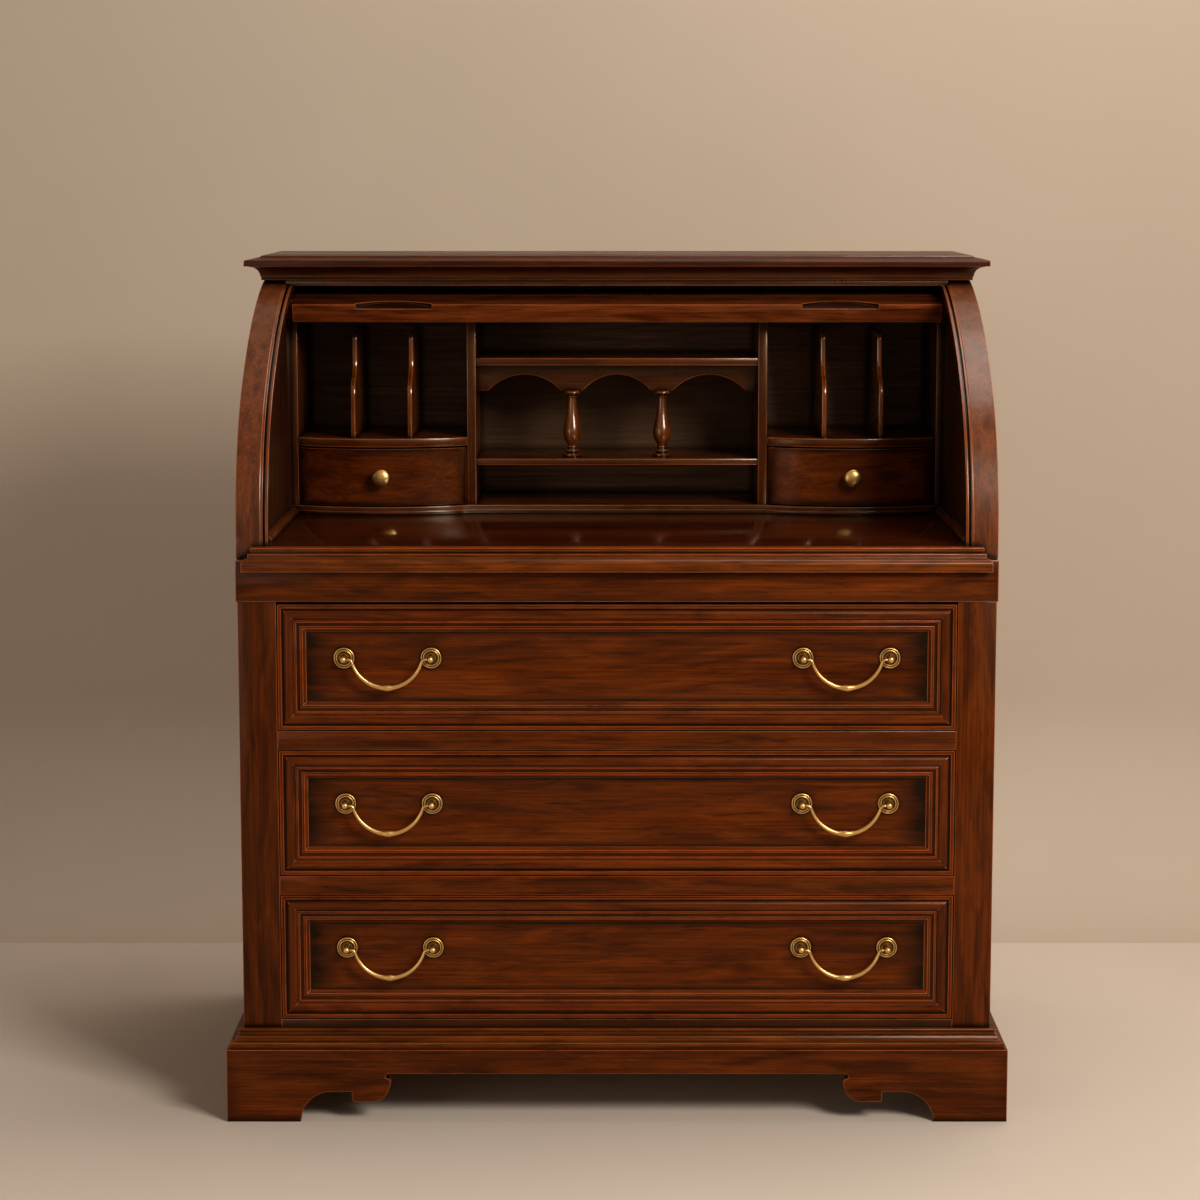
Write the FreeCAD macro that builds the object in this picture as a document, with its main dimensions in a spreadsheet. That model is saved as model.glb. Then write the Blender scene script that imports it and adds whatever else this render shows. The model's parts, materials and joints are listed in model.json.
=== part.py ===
import FreeCAD, Part
import math
import os
import re
import Sketcher
from FreeCAD import Vector

# Roll top secretary desk, in millimetres.
# X runs to the sitter's right, Y runs from the front to the back, Z is up.
# The origin lies on the floor under the middle of the desk.

doc = FreeCAD.newDocument("RollTopDesk")
sheet = doc.addObject("Spreadsheet::Sheet", "Sizes")

# Driving dimensions. Each one can be changed by itself.
SIZES = {
    # whole desk
    "case_width": 993,
    "case_depth": 648,
    "frieze_lip": 1.8,
    "upper_lip": 2.5,
    "gap": 1.0,
    "overrun": 2.0,
    "board": 20,
    # bracket base
    "base_reach": 21.5,
    "base_height": 98,
    "base_board": 18,
    "apron_height": 65.5,
    "foot_width": 97.7,
    "foot_arch": 41,
    "foot_flat": 27,
    "tooth_drop": 13.7,
    "tooth_slant": 1.2,
    "lobe_flat": 26.6,
    "lobe_radius": 24,
    "lobe_rise": 22,
    "lobe_reach": 23.2,
    "hook_rise": 10.2,
    "hook_back": 5.6,
    "hook_radius": 6.4,
    "lip_radius": 5.6,
    "lip_reach": 8,
    "base_block": 30,
    # moulding on the base
    "plinth_mould_height": 25,
    "plinth_nose_reach": 17.5,
    "plinth_nose_height": 8,
    "plinth_cyma_height": 7,
    "plinth_cyma_reach": 9.5,
    "plinth_bead_reach": 7.5,
    "plinth_bead_radius": 2.1,
    "plinth_bead_round": 2.15,
    "plinth_fillet": 1.0,
    "plinth_bead_step": 2.0,
    # case
    "stile_width": 50.5,
    "stile_setback": 1.5,
    "stile_thickness": 22,
    "back_thickness": 7,
    "drawer_opening_height": 169,
    "rail_height": 25.5,
    "rail_depth": 40,
    "lowest_opening": 134,
    "bottom_thickness": 12,
    "runner_width": 51.5,
    "runner_height": 16,
    "guide_width": 35,
    "guide_height": 25,
    "frieze_height": 54.5,
    "frieze_gap": 2.5,
    "top_board_thickness": 14,
    # writing surface and the moulding in front of it
    "surface_thickness": 17,
    "waist_reach": 16,
    "waist_face_height": 9.9,
    "waist_ovolo_height": 7.1,
    "waist_ovolo_reach": 6.5,
    "waist_ovolo_radius": 7.6,
    "waist_fillet": 1.5,
    "waist_band_height": 5.1,
    "waist_recess_depth": 4.5,
    "waist_recess_height": 3.4,
    "waist_bead_reach": 1.6,
    "waist_drop": 13.5,
    "waist_inset": 23.5,
    "cover_strip_width": 10.5,
    "cover_strip_height": 11,
    "cover_strip_edge": 2.8,
    "cover_strip_start": 57,
    # curved upper sides
    "upper_side_thickness": 32.5,
    "side_setback": 15.4,
    "curve_rise": 7.7,
    "curve_radius_low": 247.9,
    "curve_low_angle": 49.47,
    "curve_radius_high": 610,
    "curve_high_angle": 80.77,
    "bead_width": 10,
    "bead_edge": 3,
    "bead_slot_width": 3.5,
    "bead_depth": 14,
    "bead_slot_depth": 9,
    # cornice
    "cornice_depth": 276,
    "cornice_fillet_height": 4.8,
    "cornice_fillet_reach": 1.3,
    "cornice_step": 1.2,
    "cove_radius": 14,
    "cove_land": 0.9,
    "cornice_reach": 23.3,
    "cornice_edge_height": 8.4,
    "thumb_radius": 2.0,
    "thumb_height": 5.9,
    "thumb_width": 21.5,
    "thumb_step": 1.4,
    "top_rail_height": 8,
    "top_rail_depth": 18,
    "top_rail_setback": 5,
    # roll cover: two nested bent leaves that turn about one axis
    "cover_tail": 185,
    "cover_axis_drop": 91.7,
    "cover_top_gap": 16.2,
    "leaf_thickness": 10,
    "leaf_gap": 3,
    "lead_angle": 73.3,
    "lead_bevel_angle": 0.93,
    "rail_span_angle": 7.0,
    "rail_thickness": 27,
    "leaf_joint_angle": 0.03,
    "front_leaf_angle": 114.3,
    "rear_leaf_low_angle": 80.8,
    "rear_leaf_high_angle": 115.2,
    "cover_swing_angle": 60.3,
    "rear_swing_angle": 28.8,
    "rail_notch_angle": 2.9,
    "tongue_thickness": 4,
    "tongue_reach": 6,
    "tongue_setback_angle": 1.5,
    "groove_clearance": 0.5,
    "groove_depth": 7.5,
    "groove_spare_angle": 0.7,
    "pull_radius": 123,
    "pull_offset": 106,
    "pull_half": 53.5,
    "pull_lean_angle": 12.9,
    "pull_depth": 7,
    "pull_inset": 133,
    "cover_pull_height": 30,
    # pigeonhole gallery
    "gallery_depth": 208,
    "gallery_lip": 3,
    "gallery_inner_setback": 3,
    "gallery_back_space": 50,
    "gallery_cover_gap": 3.9,
    "gallery_panel": 10.5,
    "bay_width": 241.7,
    "partition_thickness": 12.5,
    "gallery_back_thickness": 6,
    "gallery_top_thickness": 6,
    "gallery_notch": 38,
    "gallery_base_thickness": 12,
    "bow_mid_radius": 270,
    "bow_end_radius": 150,
    "bow_end_angle": 34,
    "bow_shelf_reach": 3,
    "bow_base_reach": 5,
    "small_drawer_height": 82,
    "small_gap": 1.5,
    "bow_shelf_thickness": 12.5,
    "small_front_depth": 50,
    "small_side": 8,
    "small_bottom": 4,
    "small_box_height": 66,
    "small_box_depth": 140,
    "knob_radius": 12.8,
    "knob_neck": 4.5,
    "knob_foot": 8.5,
    "knob_foot_height": 2.5,
    "knob_stem_height": 8,
    "knob_height": 23,
    "knob_dome": 7.5,
    "knob_rim": 1.5,
    "divider_thickness": 7,
    "divider_top_gap": 15,
    "divider_face_setback": 7,
    "divider_waist_drop": 88,
    "divider_setback": 38,
    "divider_curve_height": 50,
    "divider_curve_radius": 25.95,
    "divider_corner": 10,
    "shelf_low_rise": 66,
    "shelf_low_thickness": 9,
    "shelf_high_drop": 51,
    "shelf_high_thickness": 10.5,
    "valance_setback": 35.5,
    "valance_thickness": 10,
    "valance_height": 37.5,
    "arch_rise": 23,
    "column_place_share": 0.35,
    "column_block": 31.5,
    "arch_land": 17,
    "column_base_radius": 12,
    "column_base_height": 6,
    "column_ring_radius": 6.6,
    "column_ring_height": 6,
    "column_foot_radius": 5,
    "column_foot_height": 15,
    "column_belly_radius": 11.6,
    "column_belly_height": 30,
    "column_neck_radius": 4.6,
    "column_head_height": 12,
    "column_cap_height": 6,
    "column_low_curve": 20,
    "column_belly_curve": 60,
    "column_neck_curve": 80,
    # long drawers
    "drawer_side_gap": 1.5,
    "drawer_proud": 0.8,
    "drawer_relief": 8.3,
    "drawer_front_thickness": 18,
    "drawer_side": 12,
    "drawer_box_gap": 5.5,
    "drawer_box_height": 122,
    "drawer_back_gap": 54,
    "drawer_bottom": 6,
    "drawer_lift": 0.3,
    "frame_bead": 4.7,
    "frame_bead_height": 7,
    "frame_groove": 2.6,
    "frame_groove_height": 3,
    "frame_band": 13.1,
    "frame_band_edge": 5,
    "frame_line": 0.8,
    "frame_line_height": 4,
    "frame_thin_bead": 3.0,
    "frame_thin_height": 5.6,
    "frame_recess": 4.7,
    "frame_recess_height": 2.5,
    "frame_inner_bead": 3.4,
    "frame_inner_height": 4.2,
    "frame_slope": 4.0,
    # brass bail pulls
    "bail_inset": 143.4,
    "pull_spacing": 114.2,
    "pull_rise": 11.8,
    "rosette_radius": 14,
    "rosette_edge": 1.6,
    "rosette_dome_radius": 9.5,
    "rosette_dome_height": 4.6,
    "post_radius": 3.6,
    "post_reach": 18,
    "finial_radius": 4.9,
    "bail_wire": 2.5,
    "bail_drop": 37.4,
    "bail_arc": 47.4,
    "bail_elbow": 5,
    "bail_pin": 1.62,
    "bail_hole": 1.7,
    "bail_pin_gap": 1.0,
    "bail_shoulder_gap": 0.4,
    "bail_bump": 4.2,
    "bail_bump_length": 10,
}

# Places worked out from the driving dimensions.
PLACES = {
    "front": "(base_reach - case_depth) / 2",
    "back": "front + case_depth",
    "case_half": "case_width / 2",
    "frieze_half": "case_half + frieze_lip",
    "upper_half": "case_half + upper_lip",
    "waist_half_width": "case_half - waist_inset",
    "base_half": "case_half + base_reach",
    "base_front_place": "front - base_reach",
    "case_front": "front + stile_setback",
    "case_inner": "case_half - board",
    "opening_half": "case_half - stile_width",
    "stile_back": "case_front + stile_thickness",
    "panel_front": "back - back_thickness",
    "opening_pitch": "drawer_opening_height + rail_height",
    "frieze_bottom": "lowest_opening + 3 * drawer_opening_height + 2 * rail_height + frieze_gap",
    "frieze_top": "frieze_bottom + frieze_height",
    "surface_top": "frieze_top + surface_thickness",
    "upper_inner": "upper_half - upper_side_thickness",
    "side_front": "front + side_setback",
    "plinth_top": "base_height + plinth_mould_height",
    "waist_bottom": "frieze_top - waist_drop",
    "waist_back": "side_front",
    "cornice_front": "back - cornice_depth",
    "cove_top": "upper_height + cornice_fillet_height + cove_radius + cove_land",
    "cornice_edge_top": "cove_top + cornice_edge_height",
    "cornice_top_height": "cornice_edge_top + thumb_height",
    "curve_foot": "surface_top + curve_rise",
    "upper_height": "curve_foot + curve_radius_low * sin(curve_low_angle)"
                    " + curve_radius_high * (sin(curve_high_angle) - sin(curve_low_angle))",
    "axis_back": "back - cover_tail",
    "cover_axis_height": "surface_top - cover_axis_drop",
    "cover_radius": "upper_height - cover_top_gap - cover_axis_height",
    "inner_leaf_radius": "cover_radius - leaf_thickness - leaf_gap",
    "tongue_outer": "cover_radius - (leaf_thickness - tongue_thickness) / 2",
    "inner_tongue_outer": "inner_leaf_radius - (leaf_thickness - tongue_thickness) / 2",
    "leaf_half": "upper_inner - gap",
    "gallery_back_face": "back - gallery_back_space",
    "bow_place": "gallery_back_face - gallery_depth",
    "bow_sine": "(bay_half - bow_end_radius * sin(bow_end_angle)) / (bow_mid_radius - bow_end_radius)",
    "bow_cosine": "sqrt(1 - bow_sine * bow_sine)",
    "bow_end_depth": "bow_mid_radius - (bow_mid_radius - bow_end_radius) * bow_cosine"
                     " - bow_end_radius * cos(bow_end_angle)",
    "base_edge": "bow_place - bow_base_reach + bow_end_depth",
    "gallery_face": "base_edge + gallery_lip",
    "gallery_inner_face": "gallery_face + gallery_inner_setback",
    "gallery_top_back": "gallery_back_face - gallery_notch",
    "gallery_reach": "inner_leaf_radius - leaf_thickness - gallery_cover_gap",
    "gallery_top_rear": "gallery_top_back - axis_back",
    "gallery_rear": "gallery_back_face + gallery_back_thickness - axis_back",
    "gallery_top_height": "cover_axis_height - gallery_top_thickness"
                          " + sqrt(gallery_reach * gallery_reach - gallery_top_rear * gallery_top_rear)",
    "gallery_back_height": "cover_axis_height"
                           " + sqrt(gallery_reach * gallery_reach - gallery_rear * gallery_rear)",
    "small_front_rear": "bow_place + small_front_depth",
    "divider_place": "bow_place + divider_face_setback",
    "divider_top": "gallery_top_height - divider_top_gap",
    "divider_waist": "divider_top - divider_waist_drop",
    "valance_place": "gallery_face + valance_setback",
    "shelf_low_top": "gallery_floor + shelf_low_rise",
    "shelf_high_top": "gallery_top_height - shelf_high_drop",
    "arch_spring": "shelf_high_top - shelf_high_thickness - valance_height",
    "column_height": "arch_spring - shelf_low_top",
    "column_neck_height": "column_height - column_head_height",
    "gallery_floor": "surface_top + gallery_base_thickness",
    "bay_outer": "upper_inner - gallery_panel",
    "partition_outer": "bay_outer - bay_width",
    "partition_inner": "partition_outer - partition_thickness",
    "arch_outer": "partition_inner - arch_land",
    "column_place": "arch_outer * column_place_share",
    "bay_middle": "(partition_outer + bay_outer) / 2",
    "bay_half": "(bay_outer - partition_outer) / 2",
    "bow_shelf_bottom": "gallery_floor + small_drawer_height + 2 * small_gap",
    "bow_shelf_top": "bow_shelf_bottom + bow_shelf_thickness",
    "drawer_half": "opening_half - drawer_side_gap",
    "drawer_face": "front + drawer_proud",
    "drawer_panel": "drawer_face + drawer_relief",
    "drawer_back_face": "drawer_panel + drawer_front_thickness",
    "box_half": "opening_half - drawer_box_gap",
    "guide_inner": "case_inner - guide_width",
    "frame_width": "frame_bead + frame_groove + frame_band + frame_line + frame_thin_bead"
                   " + frame_recess + frame_inner_bead + frame_slope",
    "pull_place": "opening_half - pull_inset",
    "pull_angle": "90 - lead_angle + pull_lean_angle",
    "pull_centre": "drawer_half - bail_inset",
    "pivot_place": "drawer_panel - post_reach",
    "bail_centre_height": "bail_arc - bail_drop",
    "bail_cosine": "(bail_centre_height + bail_elbow) / (bail_arc + bail_elbow)",
    "bail_sine": "sqrt(1 - bail_cosine * bail_cosine)",
    "bail_straight": "bail_arc * bail_sine + bail_elbow * bail_sine",
}

for line_number, (name, amount) in enumerate(SIZES.items(), start=1):
    sheet.set("A%d" % line_number, name)
    sheet.set("B%d" % line_number, str(amount))
    sheet.setAlias("B%d" % line_number, name)
doc.recompute()


def expand(text):
    """Write a size in words as an expression on the sheet's cells."""
    def swap(match):
        word = match.group(0)
        if word in PLACES:
            return "(" + expand(PLACES[word]) + ")"
        if word in SIZES:
            return "Sizes." + word
        return word
    return re.sub(r"[A-Za-z_]\w*", swap, text)


def number(text):
    """Value of a size in words."""
    return float(sheet.evalExpression(expand(text)))


def bind(thing, prop, text):
    """Tie one property of an object to the sheet."""
    thing.setExpression(prop, expand(text))


def place(thing, x="0", y="0", z="0"):
    """Tie an object's place to the sheet."""
    for axis, text in zip("xyz", (x, y, z)):
        if text != "0":
            bind(thing, ".Placement.Base." + axis, text)


NODES = []


def node(thing, label):
    """Name a finished piece of the desk."""
    thing.Label = label
    NODES.append(thing)
    return thing


def block(name, x, y, z):
    """Board with square edges between two places on each axis."""
    box = doc.addObject("Part::Box", name)
    bind(box, "Length", "(%s) - (%s)" % (x[1], x[0]))
    bind(box, "Width", "(%s) - (%s)" % (y[1], y[0]))
    bind(box, "Height", "(%s) - (%s)" % (z[1], z[0]))
    place(box, x[0], y[0], z[0])
    return box


def cut(name, base, tool):
    """One solid less another."""
    result = doc.addObject("Part::Cut", name)
    result.Base = base
    result.Tool = tool
    return result


def common(name, base, tool):
    """What two solids share."""
    result = doc.addObject("Part::Common", name)
    result.Base = base
    result.Tool = tool
    return result


def fuse(name, parts):
    """Several solids joined into one."""
    result = doc.addObject("Part::MultiFuse", name)
    result.Shapes = parts
    return result


def group(name, parts):
    """Separate solids kept under one name."""
    result = doc.addObject("Part::Compound", name)
    result.Links = parts
    return result


def mirror(name, source):
    """The same piece on the other side of the desk."""
    result = doc.addObject("Part::Mirroring", name)
    result.Source = source
    result.Base = Vector(0, 0, 0)
    result.Normal = Vector(1, 0, 0)
    return result


def arc_between(start, end, radius, side):
    """Short arc between two points, with its centre left (1) or right (-1) of the way."""
    middle = (start + end) * 0.5
    way = end - start
    half = way.Length / 2
    height = math.sqrt(max(radius * radius - half * half, 0))
    normal = Vector(-way.y, way.x, 0).normalize()
    centre = middle + normal * (height * side)
    first, last = (start, end) if side > 0 else (end, start)
    angles = [math.atan2(point.y - centre.y, point.x - centre.x) for point in (first, last)]
    if angles[1] < angles[0]:
        angles[1] += 2 * math.pi
    circle = Part.Circle(centre, Vector(0, 0, 1), radius)
    return Part.ArcOfCircle(circle, angles[0], angles[1])


def outline(sketch, corners, closed=True):
    """Draw an outline through corners tied to the sheet.

    A corner is (across, up) or (across, up, radius, side), where the radius and side
    are those of the arc that leaves it.
    """
    points = [Vector(number(corner[0]), number(corner[1]), 0) for corner in corners]
    count = len(corners) if closed else len(corners) - 1
    ends = []
    for index in range(count):
        corner = corners[index]
        start, end = points[index], points[(index + 1) % len(corners)]
        if len(corner) == 4:
            sketch.addGeometry(arc_between(start, end, number(corner[2]), corner[3]))
            ends.append((1, 2) if corner[3] > 0 else (2, 1))
        else:
            sketch.addGeometry(Part.LineSegment(start, end))
            ends.append((1, 2))
    for index in range(count):
        if closed or index + 1 < count:
            after = (index + 1) % count
            sketch.addConstraint(Sketcher.Constraint(
                "Coincident", index, ends[index][1], after, ends[after][0]))
    for index, corner in enumerate(corners):
        edge = min(index, count - 1)
        end = ends[edge][0] if index < count else ends[edge][1]
        for kind, text, amount in (("DistanceX", corner[0], points[index].x),
                                   ("DistanceY", corner[1], points[index].y)):
            mark = sketch.addConstraint(Sketcher.Constraint(kind, -1, 1, edge, end, amount))
            bind(sketch, "Constraints[%d]" % mark, text)
        if len(corner) == 4:
            mark = sketch.addConstraint(Sketcher.Constraint("Radius", index, number(corner[2])))
            bind(sketch, "Constraints[%d]" % mark, corner[2])


def new_body(name, plane, corners):
    """Body with one sketch on one of its own planes."""
    body = doc.addObject("PartDesign::Body", name)
    sketch = body.newObject("Sketcher::SketchObject", name + "_sketch")
    face = [thing for thing in body.Origin.OriginFeatures if thing.Role == plane][0]
    sketch.AttachmentSupport = [(face, "")]
    sketch.MapMode = "FlatFace"
    outline(sketch, corners)
    return body, sketch


def pad(name, plane, corners, start, end):
    """Outline made solid between two places along the plane's normal."""
    body, sketch = new_body(name, plane, corners)
    feature = body.newObject("PartDesign::Pad", name + "_pad")
    feature.Profile = sketch
    bind(feature, "Length", "(%s) - (%s)" % (end, start))
    body.Tip = feature
    if plane == "XZ_Plane":
        place(body, y=end)
    elif plane == "YZ_Plane":
        place(body, x=start)
    else:
        place(body, z=start)
    return body


def turned(name, corners):
    """Piece turned on a lathe about the sketch's upright axis."""
    body, sketch = new_body(name, "XZ_Plane", corners)
    feature = body.newObject("PartDesign::Revolution", name + "_turning")
    feature.Profile = sketch
    feature.ReferenceAxis = (sketch, ["V_Axis"])
    feature.Angle = 360
    body.Tip = feature
    return body


def sector(name, inner, outer, low, high, x_low, x_high, bevel="0"):
    """Slice of a ring about the cover's axis, between two angles up from the front."""
    corners = [
        ("axis_back - (%s) * cos(%s)" % (outer, low), "cover_axis_height + (%s) * sin(%s)" % (outer, low),
         outer, -1),
        ("axis_back - (%s) * cos(%s)" % (outer, high), "cover_axis_height + (%s) * sin(%s)" % (outer, high)),
        ("axis_back - (%s) * cos(%s)" % (inner, high), "cover_axis_height + (%s) * sin(%s)" % (inner, high),
         inner, 1),
        ("axis_back - (%s) * cos((%s) + (%s))" % (inner, low, bevel),
         "cover_axis_height + (%s) * sin((%s) + (%s))" % (inner, low, bevel)),
    ]
    return pad(name, "YZ_Plane", corners, x_low, x_high)


# Bracket base

def bracket_corners(length, first, sign):
    """Edge of a bracket board, from one outer corner to the straight apron edge."""
    def along(text):
        return "(%s) %s (%s)" % (first, sign, text)
    turn = 1 if sign == "+" else -1
    arch_end = "foot_width + foot_arch"
    tooth = arch_end + " + foot_flat"
    lobe = tooth + " + tooth_slant + lobe_flat"
    return [
        (along("0"), "base_height"),
        (along("0"), "0"),
        (along("foot_width"), "0", "foot_arch", -turn),
        (along(arch_end), "foot_arch"),
        (along(tooth), "foot_arch"),
        (along(tooth + " + tooth_slant"), "foot_arch - tooth_drop"),
        (along(lobe), "foot_arch - tooth_drop", "lobe_radius", turn),
        (along(lobe + " + lobe_reach"), "foot_arch - tooth_drop + lobe_rise", "hook_radius", turn),
        (along(lobe + " + lobe_reach - hook_back"),
         "foot_arch - tooth_drop + lobe_rise + hook_rise", "lip_radius", -turn),
        (along(lobe + " + lobe_reach - hook_back + lip_reach"), "apron_height"),
    ]


def bracket(name, plane, first, last, start, end):
    """Board with a bracket foot at each end."""
    left = bracket_corners(last, first, "+")
    right = bracket_corners(first, last, "-")
    corners = list(left)
    back_way = list(reversed(right))
    for index, corner in enumerate(back_way):
        source = right[len(right) - 2 - index] if index + 1 < len(right) else None
        flipped = corner[:2]
        if source is not None and len(source) == 4:
            flipped = (corner[0], corner[1], source[2], -source[3])
        corners.append(flipped)
    return pad(name, plane, corners, start, end)


node(bracket("base_front", "XZ_Plane", "-base_half", "base_half",
             "base_front_place", "base_front_place + base_board"), "base_front")
base_side = node(bracket("base_side_left", "YZ_Plane", "base_front_place + base_board", "back",
                         "-base_half", "-base_half + base_board"), "base_side_left")
node(mirror("base_side_right", base_side), "base_side_right")
back_board = block("base_back_board", ("-base_half + base_board", "base_half - base_board"),
                   ("back - base_board", "back"), ("apron_height", "base_height"))
base_blocks = [back_board]
for side in ("-", ""):
    inner = ("-(base_half - base_board)", "-(base_half - base_board - base_block)")
    if side == "":
        inner = ("base_half - base_board - base_block", "base_half - base_board")
    for depth in (("base_front_place + base_board", "base_front_place + base_board + base_block"),
                  ("back - base_board - base_block", "back - base_board")):
        base_blocks.append(block("corner_block", inner, depth, ("overrun", "base_height")))
node(group("base_back", base_blocks), "base_back")


def plinth_profile(origin, sign, top_first=True):
    """Moulding above the base: nose, cyma, two beads."""
    def out(text):
        return "(%s) %s (%s)" % (origin, sign, text)
    turn = 1 if sign == "-" else -1
    nose_top = "base_height + plinth_nose_height"
    cyma_top = nose_top + " + plinth_cyma_height"
    bead_two = "plinth_top - 2 * plinth_bead_radius"
    return [
        (out("plinth_nose_reach"), "base_height"),
        (out("plinth_nose_reach"), nose_top, "plinth_cyma_reach", turn),
        (out("plinth_nose_reach - plinth_cyma_reach"), cyma_top),
        (out("plinth_bead_reach - plinth_bead_step"), cyma_top),
        (out("plinth_bead_reach - plinth_bead_step"), bead_two, "plinth_bead_round", -turn),
        (out("plinth_bead_reach - plinth_bead_step"), "plinth_top"),
    ]


def moulded_board(name, profile, front_origin, side_origin, behind, bottom, top):
    """Board whose front and side edges carry one moulding, mitred at the corners."""
    front = profile(front_origin, "-")
    along = pad(name + "_front_run", "YZ_Plane",
                front + [(behind, top), (behind, bottom)],
                "-(%s) - base_reach - cornice_reach" % side_origin,
                "(%s) + base_reach + cornice_reach" % side_origin)
    right = profile(side_origin, "+")
    left = []
    mirrored = profile("-(%s)" % side_origin, "-")
    for index in range(len(mirrored) - 1, -1, -1):
        corner = mirrored[index][:2]
        before = mirrored[index - 1] if index > 0 else None
        if before is not None and len(before) == 4:
            corner = (corner[0], corner[1], before[2], -before[3])
        left.append(corner)
    across = pad(name + "_side_run", "XZ_Plane", right + left,
                 "(%s) - base_reach - cornice_reach" % front_origin, behind)
    return common(name + "_moulded", along, across)


plinth_board = moulded_board("plinth", plinth_profile, "case_front", "case_half",
                             "back", "base_height", "plinth_top")
plinth_core = block("plinth_core", ("-case_half", "case_half"), ("case_front", "back + overrun"),
                    ("base_height - overrun", "plinth_top + overrun"))
node(cut("base_moulding", plinth_board, plinth_core), "base_moulding")

# Lower case

case_side = node(block("case_side_left", ("-case_half", "-case_inner"), ("stile_back", "back"),
                       ("base_height", "frieze_bottom")), "case_side_left")
node(mirror("case_side_right", case_side), "case_side_right")
stile = block("case_stile", ("-case_half", "-opening_half"), ("case_front", "stile_back"),
              ("base_height", "frieze_bottom"))
node(group("case_stiles", [stile, mirror("case_stile_right", stile)]), "case_stiles")
node(block("case_bottom", ("-case_inner", "case_inner"), ("case_front + rail_depth", "panel_front"),
           ("base_height", "base_height + bottom_thickness")), "case_bottom")
node(block("case_back", ("-case_inner", "case_inner"), ("panel_front", "back"),
           ("base_height", "frieze_top")), "case_back")
node(block("case_top", ("-case_inner", "case_inner"), ("front + board", "panel_front"),
           ("frieze_top - top_board_thickness", "frieze_top")), "case_top")


def opening_bottom(index):
    """Height of the floor of a drawer opening, counted from the lowest."""
    return "lowest_opening + %d * opening_pitch" % index


rails = [block("rail_bottom", ("-opening_half", "opening_half"), ("case_front", "case_front + rail_depth"),
               ("base_height", "lowest_opening"))]
for index in (1, 2):
    rails.append(block("rail_%d" % index, ("-opening_half", "opening_half"),
                       ("case_front", "case_front + rail_depth"),
                       (opening_bottom(index) + " - rail_height", opening_bottom(index))))
node(group("drawer_rails", rails), "drawer_rails")

runners = []
for index in range(3):
    floor = opening_bottom(index)
    corners = [
        ("-case_inner", floor + " - runner_height"),
        ("-case_inner + runner_width", floor + " - runner_height"),
        ("-case_inner + runner_width", floor),
        ("-guide_inner", floor),
        ("-guide_inner", floor + " + guide_height"),
        ("-case_inner", floor + " + guide_height"),
    ]
    runner = pad("runner_%d" % index, "XZ_Plane", corners, "case_front + rail_depth", "panel_front")
    runners.extend([runner, mirror("runner_right_%d" % index, runner)])
node(group("drawer_runners", runners), "drawer_runners")

node(block("frieze_front", ("-frieze_half", "frieze_half"), ("front", "front + board"),
           ("frieze_bottom", "frieze_top")), "frieze_front")
frieze_side = block("frieze_side", ("-frieze_half", "-case_inner"), ("front + board", "back"),
                    ("frieze_bottom", "frieze_top"))
node(group("frieze_sides", [frieze_side, mirror("frieze_side_right", frieze_side)]), "frieze_sides")

# Writing surface and the moulding at its front edge

node(block("writing_surface", ("-upper_inner", "upper_inner"), ("side_front", "panel_front"),
           ("frieze_top", "surface_top")), "writing_surface")


def waist_profile(origin, sign):
    """Edge moulding: face, ovolo, band, recess and top bead."""
    def out(text):
        return "(%s) %s (%s)" % (origin, sign, text)
    turn = 1 if sign == "-" else -1
    face_top = "waist_bottom + waist_face_height"
    ovolo_top = face_top + " + waist_ovolo_height"
    band_low = ovolo_top + " + waist_fillet / 2"
    band_top = band_low + " + waist_band_height"
    recess_top = band_top + " + waist_recess_height"
    band_reach = "waist_reach - waist_ovolo_reach - waist_fillet"
    return [
        (out("waist_reach"), "waist_bottom"),
        (out("waist_reach"), face_top, "waist_ovolo_radius", -turn),
        (out("waist_reach - waist_ovolo_reach"), ovolo_top),
        (out(band_reach), band_low),
        (out(band_reach), band_top),
        (out(band_reach + " - waist_recess_depth"), band_top),
        (out(band_reach + " - waist_recess_depth"), recess_top),
        (out(band_reach + " - waist_recess_depth + waist_bead_reach"), recess_top),
        (out(band_reach + " - waist_recess_depth + waist_bead_reach"), "surface_top"),
    ]


waist_board = moulded_board("waist", waist_profile, "front", "waist_half_width",
                            "waist_back", "waist_bottom", "surface_top")
waist_core = block("waist_core", ("-upper_half", "upper_half"), ("front", "waist_back + overrun"),
                   ("waist_bottom - overrun", "frieze_top"))
node(cut("waist_moulding", waist_board, waist_core), "waist_moulding")

strip = pad("surface_strip", "XZ_Plane", [
    ("-upper_inner", "surface_top"),
    ("-upper_inner + cover_strip_width", "surface_top"),
    ("-upper_inner + cover_strip_width", "surface_top + cover_strip_edge",
     "cover_strip_width", 1),
    ("-upper_inner", "surface_top + cover_strip_height"),
], "front + cover_strip_start", "base_edge")
node(group("surface_mouldings", [strip, mirror("surface_strip_right", strip)]), "surface_mouldings")

# Curved upper sides with the two grooves that guide the cover

low_centre = "side_front + curve_radius_low"
turn_back = low_centre + " - curve_radius_low * cos(curve_low_angle)"
turn_height = "curve_foot + curve_radius_low * sin(curve_low_angle)"
curve_end = turn_back + " + curve_radius_high * (cos(curve_low_angle) - cos(curve_high_angle))"


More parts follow.
